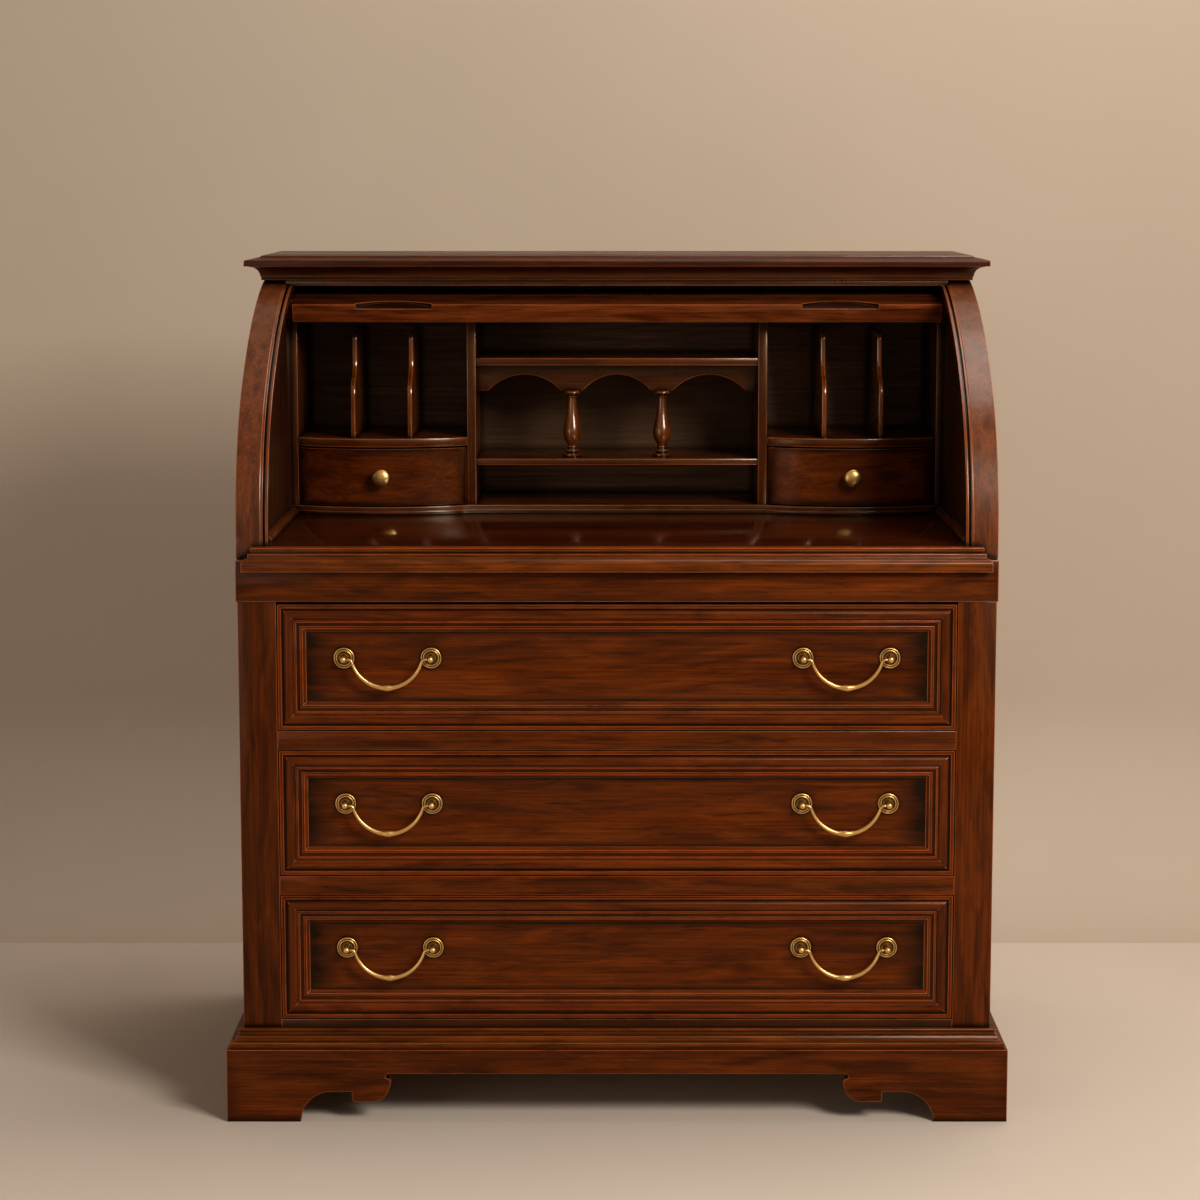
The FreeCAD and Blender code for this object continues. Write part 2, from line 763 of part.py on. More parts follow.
def side_curve(inset, high):
    """Points along the curved front edge, set back by an inset, up to a height."""
    low_radius = "(curve_radius_low - (%s))" % inset
    high_radius = "(curve_radius_high - (%s))" % inset
    high_centre = turn_back + " + curve_radius_high * cos(curve_low_angle)"
    rise = "((%s) - (%s) + curve_radius_high * sin(curve_low_angle))" % (high, turn_height)
    return [
        ("side_front + (%s)" % inset, "curve_foot", low_radius),
        ("%s - %s * cos(curve_low_angle)" % (low_centre, low_radius),
         "curve_foot + %s * sin(curve_low_angle)" % low_radius, high_radius),
        ("%s - sqrt(%s * %s - %s * %s)" % (high_centre, high_radius, high_radius, rise, rise), high),
    ]


def curve_band(name, front_inset, back_inset, low, high, x_low, x_high):
    """Strip that follows the curved front edge."""
    near = side_curve(front_inset, high)
    far = side_curve(back_inset, high)
    return pad(name, "YZ_Plane", [
        (near[0][0], low),
        near[0] + (-1,),
        near[1] + (-1,),
        near[2],
        far[2] + (far[1][2], 1),
        far[1][:2] + (far[0][2], 1),
        far[0][:2],
        (far[0][0], low),
    ], x_low, x_high)


side_blank = pad("upper_side_blank", "YZ_Plane", [
    ("side_front", "frieze_top"),
    ("side_front", "curve_foot", "curve_radius_low", -1),
    (turn_back, turn_height, "curve_radius_high", -1),
    (curve_end, "upper_height"),
    ("back", "upper_height"),
    ("back", "frieze_top"),
], "-upper_half", "-upper_inner")
groove_end = "-upper_inner + overrun"
outer_groove = sector("outer_groove", "tongue_outer - tongue_thickness - groove_clearance",
                      "tongue_outer + groove_clearance",
                      "lead_angle - cover_swing_angle + tongue_setback_angle - groove_spare_angle",
                      "front_leaf_angle + groove_spare_angle",
                      "-upper_inner - groove_depth", groove_end)
inner_groove = sector("inner_groove", "inner_tongue_outer - tongue_thickness - groove_clearance",
                      "inner_tongue_outer + groove_clearance",
                      "rear_leaf_low_angle - rear_swing_angle - groove_spare_angle",
                      "rear_leaf_high_angle + groove_spare_angle",
                      "-upper_inner - groove_depth", groove_end)
upper_side = cut("upper_side_left", side_blank, fuse("side_grooves", [outer_groove, inner_groove]))
node(upper_side, "upper_side_left")
node(mirror("upper_side_right", upper_side), "upper_side_right")
node(block("upper_back", ("-upper_inner", "upper_inner"), ("panel_front", "back"),
           ("frieze_top", "upper_height")), "upper_back")

bead_top = "upper_height - top_rail_height"
bead_strip = curve_band("side_bead_strip", "0", "bead_depth", "surface_top", bead_top,
                        "-upper_inner", "-upper_inner + bead_width")
bead_slot = curve_band("side_bead_slot", "-overrun", "bead_slot_depth", "surface_top - overrun",
                       bead_top + " + overrun",
                       "-upper_inner + bead_edge", "-upper_inner + bead_edge + bead_slot_width")
side_bead = cut("side_bead", bead_strip, bead_slot)
node(group("side_beads", [side_bead, mirror("side_bead_right", side_bead)]), "side_beads")

# Cornice


def cove_profile(origin, sign):
    """Fillet and hollow under the top board."""
    def out(text):
        return "(%s) %s (%s)" % (origin, sign, text)
    turn = 1 if sign == "-" else -1
    fillet_top = "upper_height + cornice_fillet_height"
    hollow = "cornice_fillet_reach + cornice_step"
    return [
        (out("cornice_fillet_reach"), "upper_height"),
        (out("cornice_fillet_reach"), fillet_top),
        (out(hollow), fillet_top, "cove_radius", turn),
        (out(hollow + " + cove_radius"), fillet_top + " + cove_radius"),
        (out(hollow + " + cove_radius"), "cove_top"),
    ]


def top_profile(origin, sign):
    """Square edge with a thumbnail moulding on top."""
    def out(text):
        return "(%s) %s (%s)" % (origin, sign, text)
    turn = 1 if sign == "-" else -1
    return [
        (out("cornice_reach"), "cove_top"),
        (out("cornice_reach"), "cornice_edge_top - thumb_radius", "thumb_radius", -turn),
        (out("cornice_reach - thumb_radius"), "cornice_edge_top"),
        (out("cornice_reach - thumb_width"), "cornice_top_height - thumb_step"),
        (out("cornice_reach - thumb_width"), "cornice_top_height"),
    ]


node(moulded_board("cornice_cove", cove_profile, "cornice_front", "upper_half",
                   "back", "upper_height", "cove_top"), "cornice_cove")
node(moulded_board("cornice_top", top_profile, "cornice_front", "upper_half",
                   "back", "cove_top", "cornice_top_height"), "cornice_top")
node(block("top_rail", ("-upper_inner", "upper_inner"),
           ("cornice_front + top_rail_setback", "cornice_front + top_rail_setback + top_rail_depth"),
           ("upper_height - top_rail_height", "upper_height")), "top_rail")

# Roll cover: lead rail, front leaf and rear leaf

rail_blank = sector("lead_rail_blank", "cover_radius - rail_thickness", "cover_radius",
                    "lead_angle", "lead_angle + rail_span_angle", "-leaf_half", "leaf_half",
                    "lead_bevel_angle")
rail_tongue = sector("lead_rail_tongue", "tongue_outer - tongue_thickness", "tongue_outer",
                     "lead_angle + tongue_setback_angle", "lead_angle + rail_span_angle",
                     "-upper_inner - tongue_reach", "upper_inner + tongue_reach")
rail_body = fuse("lead_rail_body", [rail_blank, rail_tongue])
finger_pulls = []
for side in ("-", ""):
    cutter = doc.addObject("Part::Cylinder", "finger_pull")
    bind(cutter, "Radius", "pull_radius")
    bind(cutter, "Height", "cover_pull_height")
    cutter.Placement.Rotation = FreeCAD.Rotation(Vector(1, 0, 0), 90)
    bind(cutter, ".Placement.Rotation.Angle", "pull_angle")
    bind(cutter, ".Placement.Base.x", side + "pull_place")
    bind(cutter, ".Placement.Base.y", "axis_back - cover_radius * cos(lead_angle)"
         " + pull_depth * sin(pull_angle) - pull_offset * cos(pull_angle)")
    bind(cutter, ".Placement.Base.z", "cover_axis_height + cover_radius * sin(lead_angle)"
         " - pull_depth * cos(pull_angle) - pull_offset * sin(pull_angle)")
    # Only the middle of the cylinder cuts the rail, which leaves a short step at each end of the hollow
    pull_ends = (side + "pull_place - pull_half", side + "pull_place + pull_half")
    span = block("finger_pull_span", pull_ends, ("front", "back"), ("surface_top", "upper_height"))
    finger_pulls.append(common("finger_pull_shape", cutter, span))
rail_notch = sector("rail_notch", "cover_radius - rail_thickness - overrun", "cover_radius + overrun",
                    "lead_angle - tongue_setback_angle", "lead_angle + rail_notch_angle",
                    "-upper_inner", "-upper_inner + cover_strip_width + gap")
rail_cuts = finger_pulls + [rail_notch, mirror("rail_notch_right", rail_notch)]
node(cut("lead_rail", rail_body, group("rail_cuts", rail_cuts)), "lead_rail")

front_leaf_start = "lead_angle + rail_span_angle + leaf_joint_angle"
front_leaf = fuse("front_leaf", [
    sector("front_leaf_board", "cover_radius - leaf_thickness", "cover_radius",
           front_leaf_start, "front_leaf_angle", "-leaf_half", "leaf_half"),
    sector("front_leaf_tongue", "tongue_outer - tongue_thickness", "tongue_outer",
           front_leaf_start, "front_leaf_angle", "-upper_inner - tongue_reach", "upper_inner + tongue_reach"),
])
node(front_leaf, "cover_front_leaf")
rear_leaf = fuse("rear_leaf", [
    sector("rear_leaf_board", "inner_leaf_radius - leaf_thickness", "inner_leaf_radius",
           "rear_leaf_low_angle", "rear_leaf_high_angle", "-leaf_half", "leaf_half"),
    sector("rear_leaf_tongue", "inner_tongue_outer - tongue_thickness", "inner_tongue_outer",
           "rear_leaf_low_angle", "rear_leaf_high_angle",
           "-upper_inner - tongue_reach", "upper_inner + tongue_reach"),
])
node(rear_leaf, "cover_rear_leaf")

# Pigeonhole gallery


def upright(name, floor, x_low, x_high):
    """Gallery panel whose top back corner follows the cover."""
    return pad(name, "YZ_Plane", [
        ("gallery_face", floor),
        ("gallery_face", "gallery_top_height"),
        ("gallery_top_back", "gallery_top_height"),
        ("gallery_back_face", "gallery_back_height"),
        ("gallery_back_face", floor),
    ], x_low, x_high)


gallery_side = upright("gallery_side", "gallery_floor", "-upper_inner", "-bay_outer")
node(group("gallery_sides", [gallery_side, mirror("gallery_side_right", gallery_side)]), "gallery_sides")
partition = upright("partition", "gallery_floor", "-partition_outer", "-partition_inner")
node(group("gallery_partitions", [partition, mirror("partition_right", partition)]), "gallery_partitions")
node(block("gallery_back", ("-upper_inner", "upper_inner"),
           ("gallery_back_face", "gallery_back_face + gallery_back_thickness"),
           ("surface_top", "gallery_back_height")), "gallery_back")
node(block("gallery_top", ("-upper_inner", "upper_inner"), ("gallery_face", "gallery_top_back"),
           ("gallery_top_height", "gallery_top_height + gallery_top_thickness")), "gallery_top")


def bow(face):
    """Bowed edge across the left bay, from its outer end inwards."""
    middle = "-bay_middle"
    return [
        (middle + " - bay_half", face + " + bow_end_depth", "bow_end_radius", 1),
        (middle + " - bow_mid_radius * bow_sine", face + " + bow_mid_radius * (1 - bow_cosine)",
         "bow_mid_radius", 1),
        (middle + " + bow_mid_radius * bow_sine", face + " + bow_mid_radius * (1 - bow_cosine)",
         "bow_end_radius", 1),
        (middle + " + bay_half", face + " + bow_end_depth"),
    ]


def base_half_outline():
    """Plan of the left half of the gallery's floor."""
    return bow("bow_place - bow_base_reach") + [
        ("0", "base_edge"),
        ("0", "gallery_back_face"),
        ("-upper_inner", "gallery_back_face"),
        ("-upper_inner", "base_edge"),
    ]


base_half_board = pad("gallery_base_half", "XY_Plane", base_half_outline(), "surface_top", "gallery_floor")
node(fuse("gallery_base", [base_half_board, mirror("gallery_base_other", base_half_board)]), "gallery_base")

bow_shelf = pad("bow_shelf", "XY_Plane", bow("bow_place - bow_shelf_reach") + [
    ("-partition_outer", "gallery_back_face"),
    ("-bay_outer", "gallery_back_face"),
], "bow_shelf_bottom", "bow_shelf_top")
node(group("bow_shelves", [bow_shelf, mirror("bow_shelf_right", bow_shelf)]), "bow_shelves")

node(block("shelf_low", ("-partition_inner", "partition_inner"), ("gallery_inner_face", "gallery_back_face"),
           ("shelf_low_top - shelf_low_thickness", "shelf_low_top")), "gallery_shelf_low")
node(block("shelf_high", ("-partition_inner", "partition_inner"), ("gallery_inner_face", "gallery_back_face"),
           ("shelf_high_top - shelf_high_thickness", "shelf_high_top")), "gallery_shelf_high")

dividers = []
for index in (1, 2):
    middle = "-partition_outer - %d * (2 * bay_half / 3)" % index
    rear = "divider_place + divider_setback"
    divider = pad("divider_%d" % index, "YZ_Plane", [
        ("divider_place", "bow_shelf_top"),
        ("divider_place", "divider_waist", "divider_curve_radius", -1),
        ("divider_place + divider_setback / 2", "divider_waist + divider_curve_height / 2",
         "divider_curve_radius", 1),
        (rear, "divider_waist + divider_curve_height"),
        (rear, "divider_top - divider_corner", "divider_corner", -1),
        (rear + " + divider_corner", "divider_top"),
        ("gallery_back_face", "divider_top"),
        ("gallery_back_face", "bow_shelf_top"),
    ], middle + " - divider_thickness / 2", middle + " + divider_thickness / 2")
    dividers.extend([divider, mirror("divider_right_%d" % index, divider)])
node(group("gallery_dividers", dividers), "gallery_dividers")

arch_inner = "(column_place - column_block / 2)"
arch_near = "(column_place + column_block / 2)"
arch_half = "((arch_outer - %s) / 2)" % arch_near
side_arch_radius = "(%s * %s + arch_rise * arch_rise) / (2 * arch_rise)" % (arch_half, arch_half)
middle_arch_radius = "(%s * %s + arch_rise * arch_rise) / (2 * arch_rise)" % (arch_inner, arch_inner)
node(pad("arch_valance", "XZ_Plane", [
    ("-partition_inner", "shelf_high_top - shelf_high_thickness"),
    ("-partition_inner", "arch_spring"),
    ("-arch_outer", "arch_spring", side_arch_radius, -1),
    ("-" + arch_near, "arch_spring"),
    ("-" + arch_inner, "arch_spring", middle_arch_radius, -1),
    (arch_inner, "arch_spring"),
    (arch_near, "arch_spring", side_arch_radius, -1),
    ("arch_outer", "arch_spring"),
    ("partition_inner", "arch_spring"),
    ("partition_inner", "shelf_high_top - shelf_high_thickness"),
], "valance_place - valance_thickness / 2",
    "valance_place + valance_thickness / 2"), "arch_valance")

columns = []
for side in ("-", ""):
    column = turned("column", [
        ("0", "0"),
        ("column_base_radius", "0"),
        ("column_base_radius", "column_base_height"),
        ("column_ring_radius", "column_base_height"),
        ("column_ring_radius", "column_base_height + column_ring_height"),
        ("column_foot_radius", "column_foot_height", "column_low_curve", 1),
        ("column_belly_radius", "column_belly_height", "column_belly_curve", 1),
        ("(column_belly_radius + column_neck_radius) / 2", "(column_belly_height + column_neck_height) / 2",
         "column_neck_curve", -1),
        ("column_neck_radius", "column_neck_height"),
        ("column_ring_radius", "column_neck_height"),
        ("column_ring_radius", "column_neck_height + column_cap_height / 3"),
        ("column_neck_radius", "column_neck_height + column_cap_height / 3"),
        ("column_base_radius", "column_height - column_cap_height / 2"),
        ("column_base_radius", "column_height"),
        ("0", "column_height"),
    ])
    place(column, side + "column_place", "valance_place", "shelf_low_top")
    columns.append(column)
node(group("colonnettes", columns), "colonnettes")

# Small bowed drawers

small_floor = "gallery_floor + small_gap"
small_top = small_floor + " + small_drawer_height - small_gap / 2"
small_half = "(bay_half - small_gap)"
bow_face = bow("bow_place")
front_blank = pad("small_front_blank", "XY_Plane", bow_face + [
    ("-partition_outer", "small_front_rear"),
    ("-bay_outer", "small_front_rear"),
], small_floor, small_top)
front_trim = block("small_front_trim", ("-bay_middle - " + small_half, "-bay_middle + " + small_half),
                   ("front", "back"), ("surface_top", "gallery_top_height"))
small_front = node(common("small_front_left", front_blank, front_trim), "small_drawer_left_front")
node(mirror("small_front_right", small_front), "small_drawer_right_front")

box_low = "small_front_rear"
box_floor = "gallery_floor + drawer_lift"
box_span = (box_floor, box_floor + " + small_box_height")
box_high = box_low + " + small_box_depth"
left_end = "-bay_middle - " + small_half
right_end = "-bay_middle + " + small_half
box_inner = (left_end + " + small_side", right_end + " - small_side")
left_side = block("small_side", (left_end, box_inner[0]), (box_low, box_high), box_span)
right_side = block("small_other_side", (box_inner[1], right_end), (box_low, box_high), box_span)
small_back = block("small_back", box_inner, (box_high + " - small_side", box_high), box_span)
small_floor_board = block("small_floor_board", box_inner, (box_low, box_high + " - small_side"),
                          (box_floor, box_floor + " + small_bottom"))
small_box = node(group("small_box", [left_side, right_side, small_back, small_floor_board]),
                 "small_drawer_left_box")
node(mirror("small_box_right", small_box), "small_drawer_right_box")

knob_middle = small_floor + " + small_drawer_height / 2"
knob = turned("knob_left", [
    ("0", "0"),
    ("knob_foot", "0"),
    ("knob_foot", "knob_foot_height"),
    ("knob_neck", "knob_stem_height"),
    ("knob_radius", "knob_height - knob_dome - knob_rim"),
    ("knob_radius", "knob_height - knob_dome",
     "(knob_radius * knob_radius + knob_dome * knob_dome) / (2 * knob_dome)", 1),
    ("0", "knob_height"),
])
knob.Placement.Rotation = FreeCAD.Rotation(Vector(1, 0, 0), 90)
place(knob, "-bay_middle", "bow_place", knob_middle)
node(knob, "small_drawer_left_knob")
node(mirror("knob_right", knob), "small_drawer_right_knob")

# Long drawers


def frame_profile(edge, sign, along_plane):
    """Section of the drawer moulding, from its outer edge inwards."""
    def across(text):
        return "(%s) %s (%s)" % (edge, sign, text)

    def height(text):
        return "drawer_panel - (%s)" % text
    turn = 1 if (sign == "+") == along_plane else -1
    steps = []
    reach = "0"
    steps.append((reach, "0"))
    steps.append((reach, "frame_bead_height"))
    reach += " + frame_bead"
    steps.append((reach, "frame_bead_height"))
    steps.append((reach, "frame_groove_height"))
    reach += " + frame_groove"
    steps.append((reach, "frame_groove_height"))
    steps.append((reach, "frame_band_edge", "band"))
    reach += " + frame_band"
    steps.append((reach, "frame_band_edge"))
    steps.append((reach, "frame_line_height"))
    reach += " + frame_line"
    steps.append((reach, "frame_line_height"))
    steps.append((reach, "frame_thin_height"))
    reach += " + frame_thin_bead"
    steps.append((reach, "frame_thin_height"))
    steps.append((reach, "frame_recess_height"))
    reach += " + frame_recess"
    steps.append((reach, "frame_recess_height"))
    steps.append((reach, "frame_inner_height"))
    reach += " + frame_inner_bead"
    steps.append((reach, "frame_inner_height"))
    steps.append((reach + " + frame_slope", "0"))
    corners = []
    sagitta = "(drawer_relief - frame_band_edge)"
    band_radius = "(frame_band * frame_band / 4 + %s * %s) / (2 * %s)" % (sagitta, sagitta, sagitta)
    for step in steps:
        pair = (across(step[0]), height(step[1]))
        if not along_plane:
            pair = (pair[1], pair[0])
        if len(step) == 3:
            pair = pair + (band_radius, turn)
        corners.append(pair)
    return corners


def drawer_frame(name, low, high):
    """Four mitred lengths of moulding round a drawer front, joined."""
    parts = []
    for side, edge, sign in (("left", "-drawer_half", "+"), ("right", "drawer_half", "-")):
        run = pad(name + "_" + side, "XY_Plane", frame_profile(edge, sign, True), low, high)
        mitre = pad(name + "_" + side + "_mitre", "XZ_Plane", [
            (edge, low),
            ("(%s) %s frame_width" % (edge, sign), "(%s) + frame_width" % low),
            ("(%s) %s frame_width" % (edge, sign), "(%s) - frame_width" % high),
            (edge, high),
        ], "drawer_face - overrun", "drawer_panel + overrun")
        parts.append(common(name + "_" + side + "_length", run, mitre))
    for side, edge, sign in (("low", low, "+"), ("high", high, "-")):
        run = pad(name + "_" + side, "YZ_Plane", frame_profile(edge, sign, False),
                  "-drawer_half", "drawer_half")
        mitre = pad(name + "_" + side + "_mitre", "XZ_Plane", [
            ("-drawer_half", edge),
            ("drawer_half", edge),
            ("drawer_half - frame_width", "(%s) %s frame_width" % (edge, sign)),
            ("-drawer_half + frame_width", "(%s) %s frame_width" % (edge, sign)),
        ], "drawer_face - overrun", "drawer_panel + overrun")
        parts.append(common(name + "_" + side + "_length", run, mitre))
    return parts


def pull_post(name, x, z):
    """Rosette, neck and ball in one turned piece, with the hole for the bail's pin."""
    post = turned(name + "_turning", [
        ("0", "0"),
        ("rosette_radius", "0"),
        ("rosette_radius", "rosette_edge"),
        ("rosette_dome_radius", "rosette_edge"),
        ("post_radius", "rosette_dome_height"),
        ("post_radius", "post_reach - sqrt(finial_radius * finial_radius - post_radius * post_radius)",
         "finial_radius", 1),
        ("0", "post_reach + finial_radius"),
    ])
    post.Placement.Rotation = FreeCAD.Rotation(Vector(1, 0, 0), 90)
    place(post, x, "drawer_panel", z)
    return post


def pull_posts(name, index):
    """The two pairs of posts on one drawer front."""
    z = pull_height(index)
    posts = []
    for side in ("-", ""):
        middle = "%spull_centre" % side
        for way in ("-", "+"):
            x = "%s %s pull_spacing / 2" % (middle, way)
            post = pull_post("%s_post" % name, x, z)
            hole = doc.addObject("Part::Cylinder", name + "_hole")
            bind(hole, "Radius", "bail_hole")
            bind(hole, "Height", "2 * finial_radius")
            hole.Placement.Rotation = FreeCAD.Rotation(Vector(0, 1, 0), 90)
            begin = "(%s)" % x if way == "-" else "(%s) - 2 * finial_radius" % x
            place(hole, begin, "pivot_place", z)
            posts.append(cut(name + "_drilled_post", post, hole))
    return group(name + "_posts", posts)


def pull_height(index):
    """Height of the pulls' posts on one drawer."""
    return "(%s) + drawer_opening_height / 2 + pull_rise" % opening_bottom(index)


def bail(name, side, z):
    """Swinging handle: two pins, two elbows, one long bow and a swelling in its middle."""
    body = doc.addObject("PartDesign::Body", name + "_bow")
    planes = {thing.Role: thing for thing in body.Origin.OriginFeatures}
    path = body.newObject("Sketcher::SketchObject", name + "_path")
    path.AttachmentSupport = [(planes["XZ_Plane"], "")]
    path.MapMode = "FlatFace"
    shoulder = "(pull_spacing / 2 - finial_radius - bail_shoulder_gap)"
    elbow_x = "(bail_arc * bail_sine)"
    elbow_z = "(bail_elbow * bail_cosine - bail_elbow)"
    outline(path, [
        ("-" + shoulder, "0"),
        ("-bail_straight", "0", "bail_elbow", -1),
        ("-" + elbow_x, elbow_z, "bail_arc", 1),
        (elbow_x, elbow_z, "bail_elbow", -1),
        ("bail_straight", "0"),
        (shoulder, "0"),
    ], closed=False)
    ring = body.newObject("Sketcher::SketchObject", name + "_ring")
    ring.AttachmentSupport = [(planes["YZ_Plane"], "")]
    ring.MapMode = "FlatFace"
    bind(ring, ".AttachmentOffset.Base.z", "-" + shoulder)
    ring.addGeometry(Part.Circle(Vector(0, 0, 0), Vector(0, 0, 1), number("bail_wire")))
    ring.addConstraint(Sketcher.Constraint("Coincident", 0, 3, -1, 1))
    mark = ring.addConstraint(Sketcher.Constraint("Radius", 0, number("bail_wire")))
    bind(ring, "Constraints[%d]" % mark, "bail_wire")
    pipe = body.newObject("PartDesign::AdditivePipe", name + "_wire")
    pipe.Profile = ring
    pipe.Spine = (path, ["Edge%d" % count for count in range(1, 6)])
    body.Tip = pipe
    place(body, side + "pull_centre", "pivot_place", z)
    parts = [body]
    for way in ("-", ""):
        pin = doc.addObject("Part::Cylinder", name + "_pin")
        bind(pin, "Radius", "bail_pin")
        bind(pin, "Height", "finial_radius + bail_shoulder_gap + bail_wire - bail_pin_gap")
        pin.Placement.Rotation = FreeCAD.Rotation(Vector(0, 1, 0), 90)
        begin = "%spull_centre - pull_spacing / 2 + bail_pin_gap" % side
        if way == "":
            begin = "%spull_centre + pull_spacing / 2 - finial_radius - bail_shoulder_gap" % side
            begin += " - bail_wire"
        place(pin, begin, "pivot_place", z)
        parts.append(pin)
    rise = "(bail_bump - bail_wire / 2)"
    bump = turned(name + "_bump", [
        ("0", "-bail_bump_length"),
        ("bail_wire / 2", "-bail_bump_length",
         "(bail_bump_length * bail_bump_length + %s * %s) / (2 * %s)" % (rise, rise, rise), 1),
        ("bail_wire / 2", "bail_bump_length"),
        ("0", "bail_bump_length"),
    ])
    bump.Placement.Rotation = FreeCAD.Rotation(Vector(0, 1, 0), 90)
    place(bump, side + "pull_centre", "pivot_place", "(%s) - bail_drop" % z)
    parts.append(bump)
    return fuse(name + "_whole", parts)


def long_drawer(index, name):
    """One long drawer: front with its moulding, box, posts and two bails."""
    low = "(%s) + drawer_side_gap" % opening_bottom(index)
    high = "(%s) + drawer_opening_height - drawer_side_gap" % opening_bottom(index)
    board = block(name + "_board", ("-drawer_half", "drawer_half"), ("drawer_panel", "drawer_back_face"),
                  (low, high))
    node(fuse(name + "_front", [board] + drawer_frame(name + "_frame", low, high)), name + "_front")
    floor = "(%s) + drawer_lift" % opening_bottom(index)
    top = floor + " + drawer_box_height"
    rear = "panel_front - drawer_back_gap"
    side = block(name + "_side", ("-box_half", "-box_half + drawer_side"), ("drawer_back_face", rear),
                 (floor, top))
    other = mirror(name + "_other_side", side)
    inner = ("-box_half + drawer_side", "box_half - drawer_side")
    back_piece = block(name + "_back", inner, (rear + " - drawer_side", rear), (floor, top))
    bottom = block(name + "_bottom", inner, ("drawer_back_face", rear + " - drawer_side"),
                   (floor + " + drawer_bottom", floor + " + 2 * drawer_bottom"))
    node(group(name + "_box", [side, other, back_piece, bottom]), name + "_box")
    node(pull_posts(name, index), name + "_pull_posts")
    node(bail(name + "_handle_left", "-", pull_height(index)), name + "_bail_left")
    node(bail(name + "_handle_right", "", pull_height(index)), name + "_bail_right")


for drawer_index, drawer_name in ((2, "top_drawer"), (1, "middle_drawer"), (0, "bottom_drawer")):
    long_drawer(drawer_index, drawer_name)

doc.recompute()

for thing in doc.Objects:
    if "Invalid" in thing.State or "Error" in thing.State:
        raise RuntimeError("failed: %s %s" % (thing.Name, thing.State))
for thing in NODES:
    shape = thing.Shape
    if shape.isNull() or not shape.isValid():
        raise RuntimeError("bad shape: " + thing.Label)
os.makedirs("parts", exist_ok=True)
for thing in NODES:
    thing.Shape.exportStep("parts/%s.step" % thing.Label)
    bounds = thing.Shape.BoundBox
    print("%-26s solids %d volume %.0f x %.1f %.1f y %.1f %.1f z %.1f %.1f" % (
        thing.Label, len(thing.Shape.Solids), thing.Shape.Volume, bounds.XMin, bounds.XMax,
        bounds.YMin, bounds.YMax, bounds.ZMin, bounds.ZMax))
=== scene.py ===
"""Dresses the roll top desk: bevelled and grained boards, aged brass pulls, a plain studio."""
import json
import logging
import math
from contextlib import contextmanager
from dataclasses import dataclass
from enum import Enum
from typing import Callable, ClassVar, Iterator, Optional

import bmesh
import bpy
import numpy as np
from mathutils import Matrix, Vector


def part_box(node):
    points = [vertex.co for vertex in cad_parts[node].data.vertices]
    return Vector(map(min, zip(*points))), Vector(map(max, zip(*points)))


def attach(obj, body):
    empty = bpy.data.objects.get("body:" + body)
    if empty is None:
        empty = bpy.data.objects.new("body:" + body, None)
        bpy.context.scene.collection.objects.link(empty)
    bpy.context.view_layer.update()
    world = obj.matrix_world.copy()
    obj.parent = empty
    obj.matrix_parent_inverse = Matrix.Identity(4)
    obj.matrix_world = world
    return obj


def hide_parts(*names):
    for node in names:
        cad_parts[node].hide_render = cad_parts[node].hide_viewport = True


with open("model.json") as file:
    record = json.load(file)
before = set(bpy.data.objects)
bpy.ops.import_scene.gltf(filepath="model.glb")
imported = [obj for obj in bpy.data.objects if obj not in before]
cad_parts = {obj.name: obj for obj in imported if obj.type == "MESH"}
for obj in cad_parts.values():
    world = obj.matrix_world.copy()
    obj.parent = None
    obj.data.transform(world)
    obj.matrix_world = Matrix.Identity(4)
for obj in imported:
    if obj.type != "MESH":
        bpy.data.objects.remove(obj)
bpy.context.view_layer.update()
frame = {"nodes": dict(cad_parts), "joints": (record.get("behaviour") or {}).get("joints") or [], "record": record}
logging.basicConfig(level=logging.INFO, format="%(name)s: %(message)s")
log = logging.getLogger("desk")

Point = tuple[float, float, float]
Colour = tuple[float, float, float]
Socket = bpy.types.NodeSocket
Piece = bpy.types.Object

ACROSS_DESK = (1.0, 0.0, 0.0)
UPWARDS = (0.0, 0.0, 1.0)


class Grain(Enum):
    """Way that the wood's fibres run."""

    ACROSS = 0
    DEEP = 1
    UPRIGHT = 2


class Recipe(Enum):
    """Names of the shared shader groups."""

    FIGURE = "Wood figure"
    WEAR = "Handling wear and painted edge highlight"
    GLAZE = "Painted shade towards the edges"
    TARNISH = "Brass tarnish"


# Shader node helpers


@dataclass(frozen=True)
class Cloud:
    """Form of a noise.

    Attributes:
        stretch: Clouds to the metre along each axis, where they differ.
        shift: Shift along each axis, so that two noises don't repeat each other.
        detail: Octaves.
        rough: Strength of the finer octaves.
        distortion: How far the clouds are warped.
        scale: Clouds to the metre, or factor to the stretch.
    """

    stretch: Optional[Point] = None
    shift: Point = (0.0, 0.0, 0.0)
    detail: float = 2.0
    rough: float = 0.5
    distortion: float = 0.0
    scale: float = 1.0


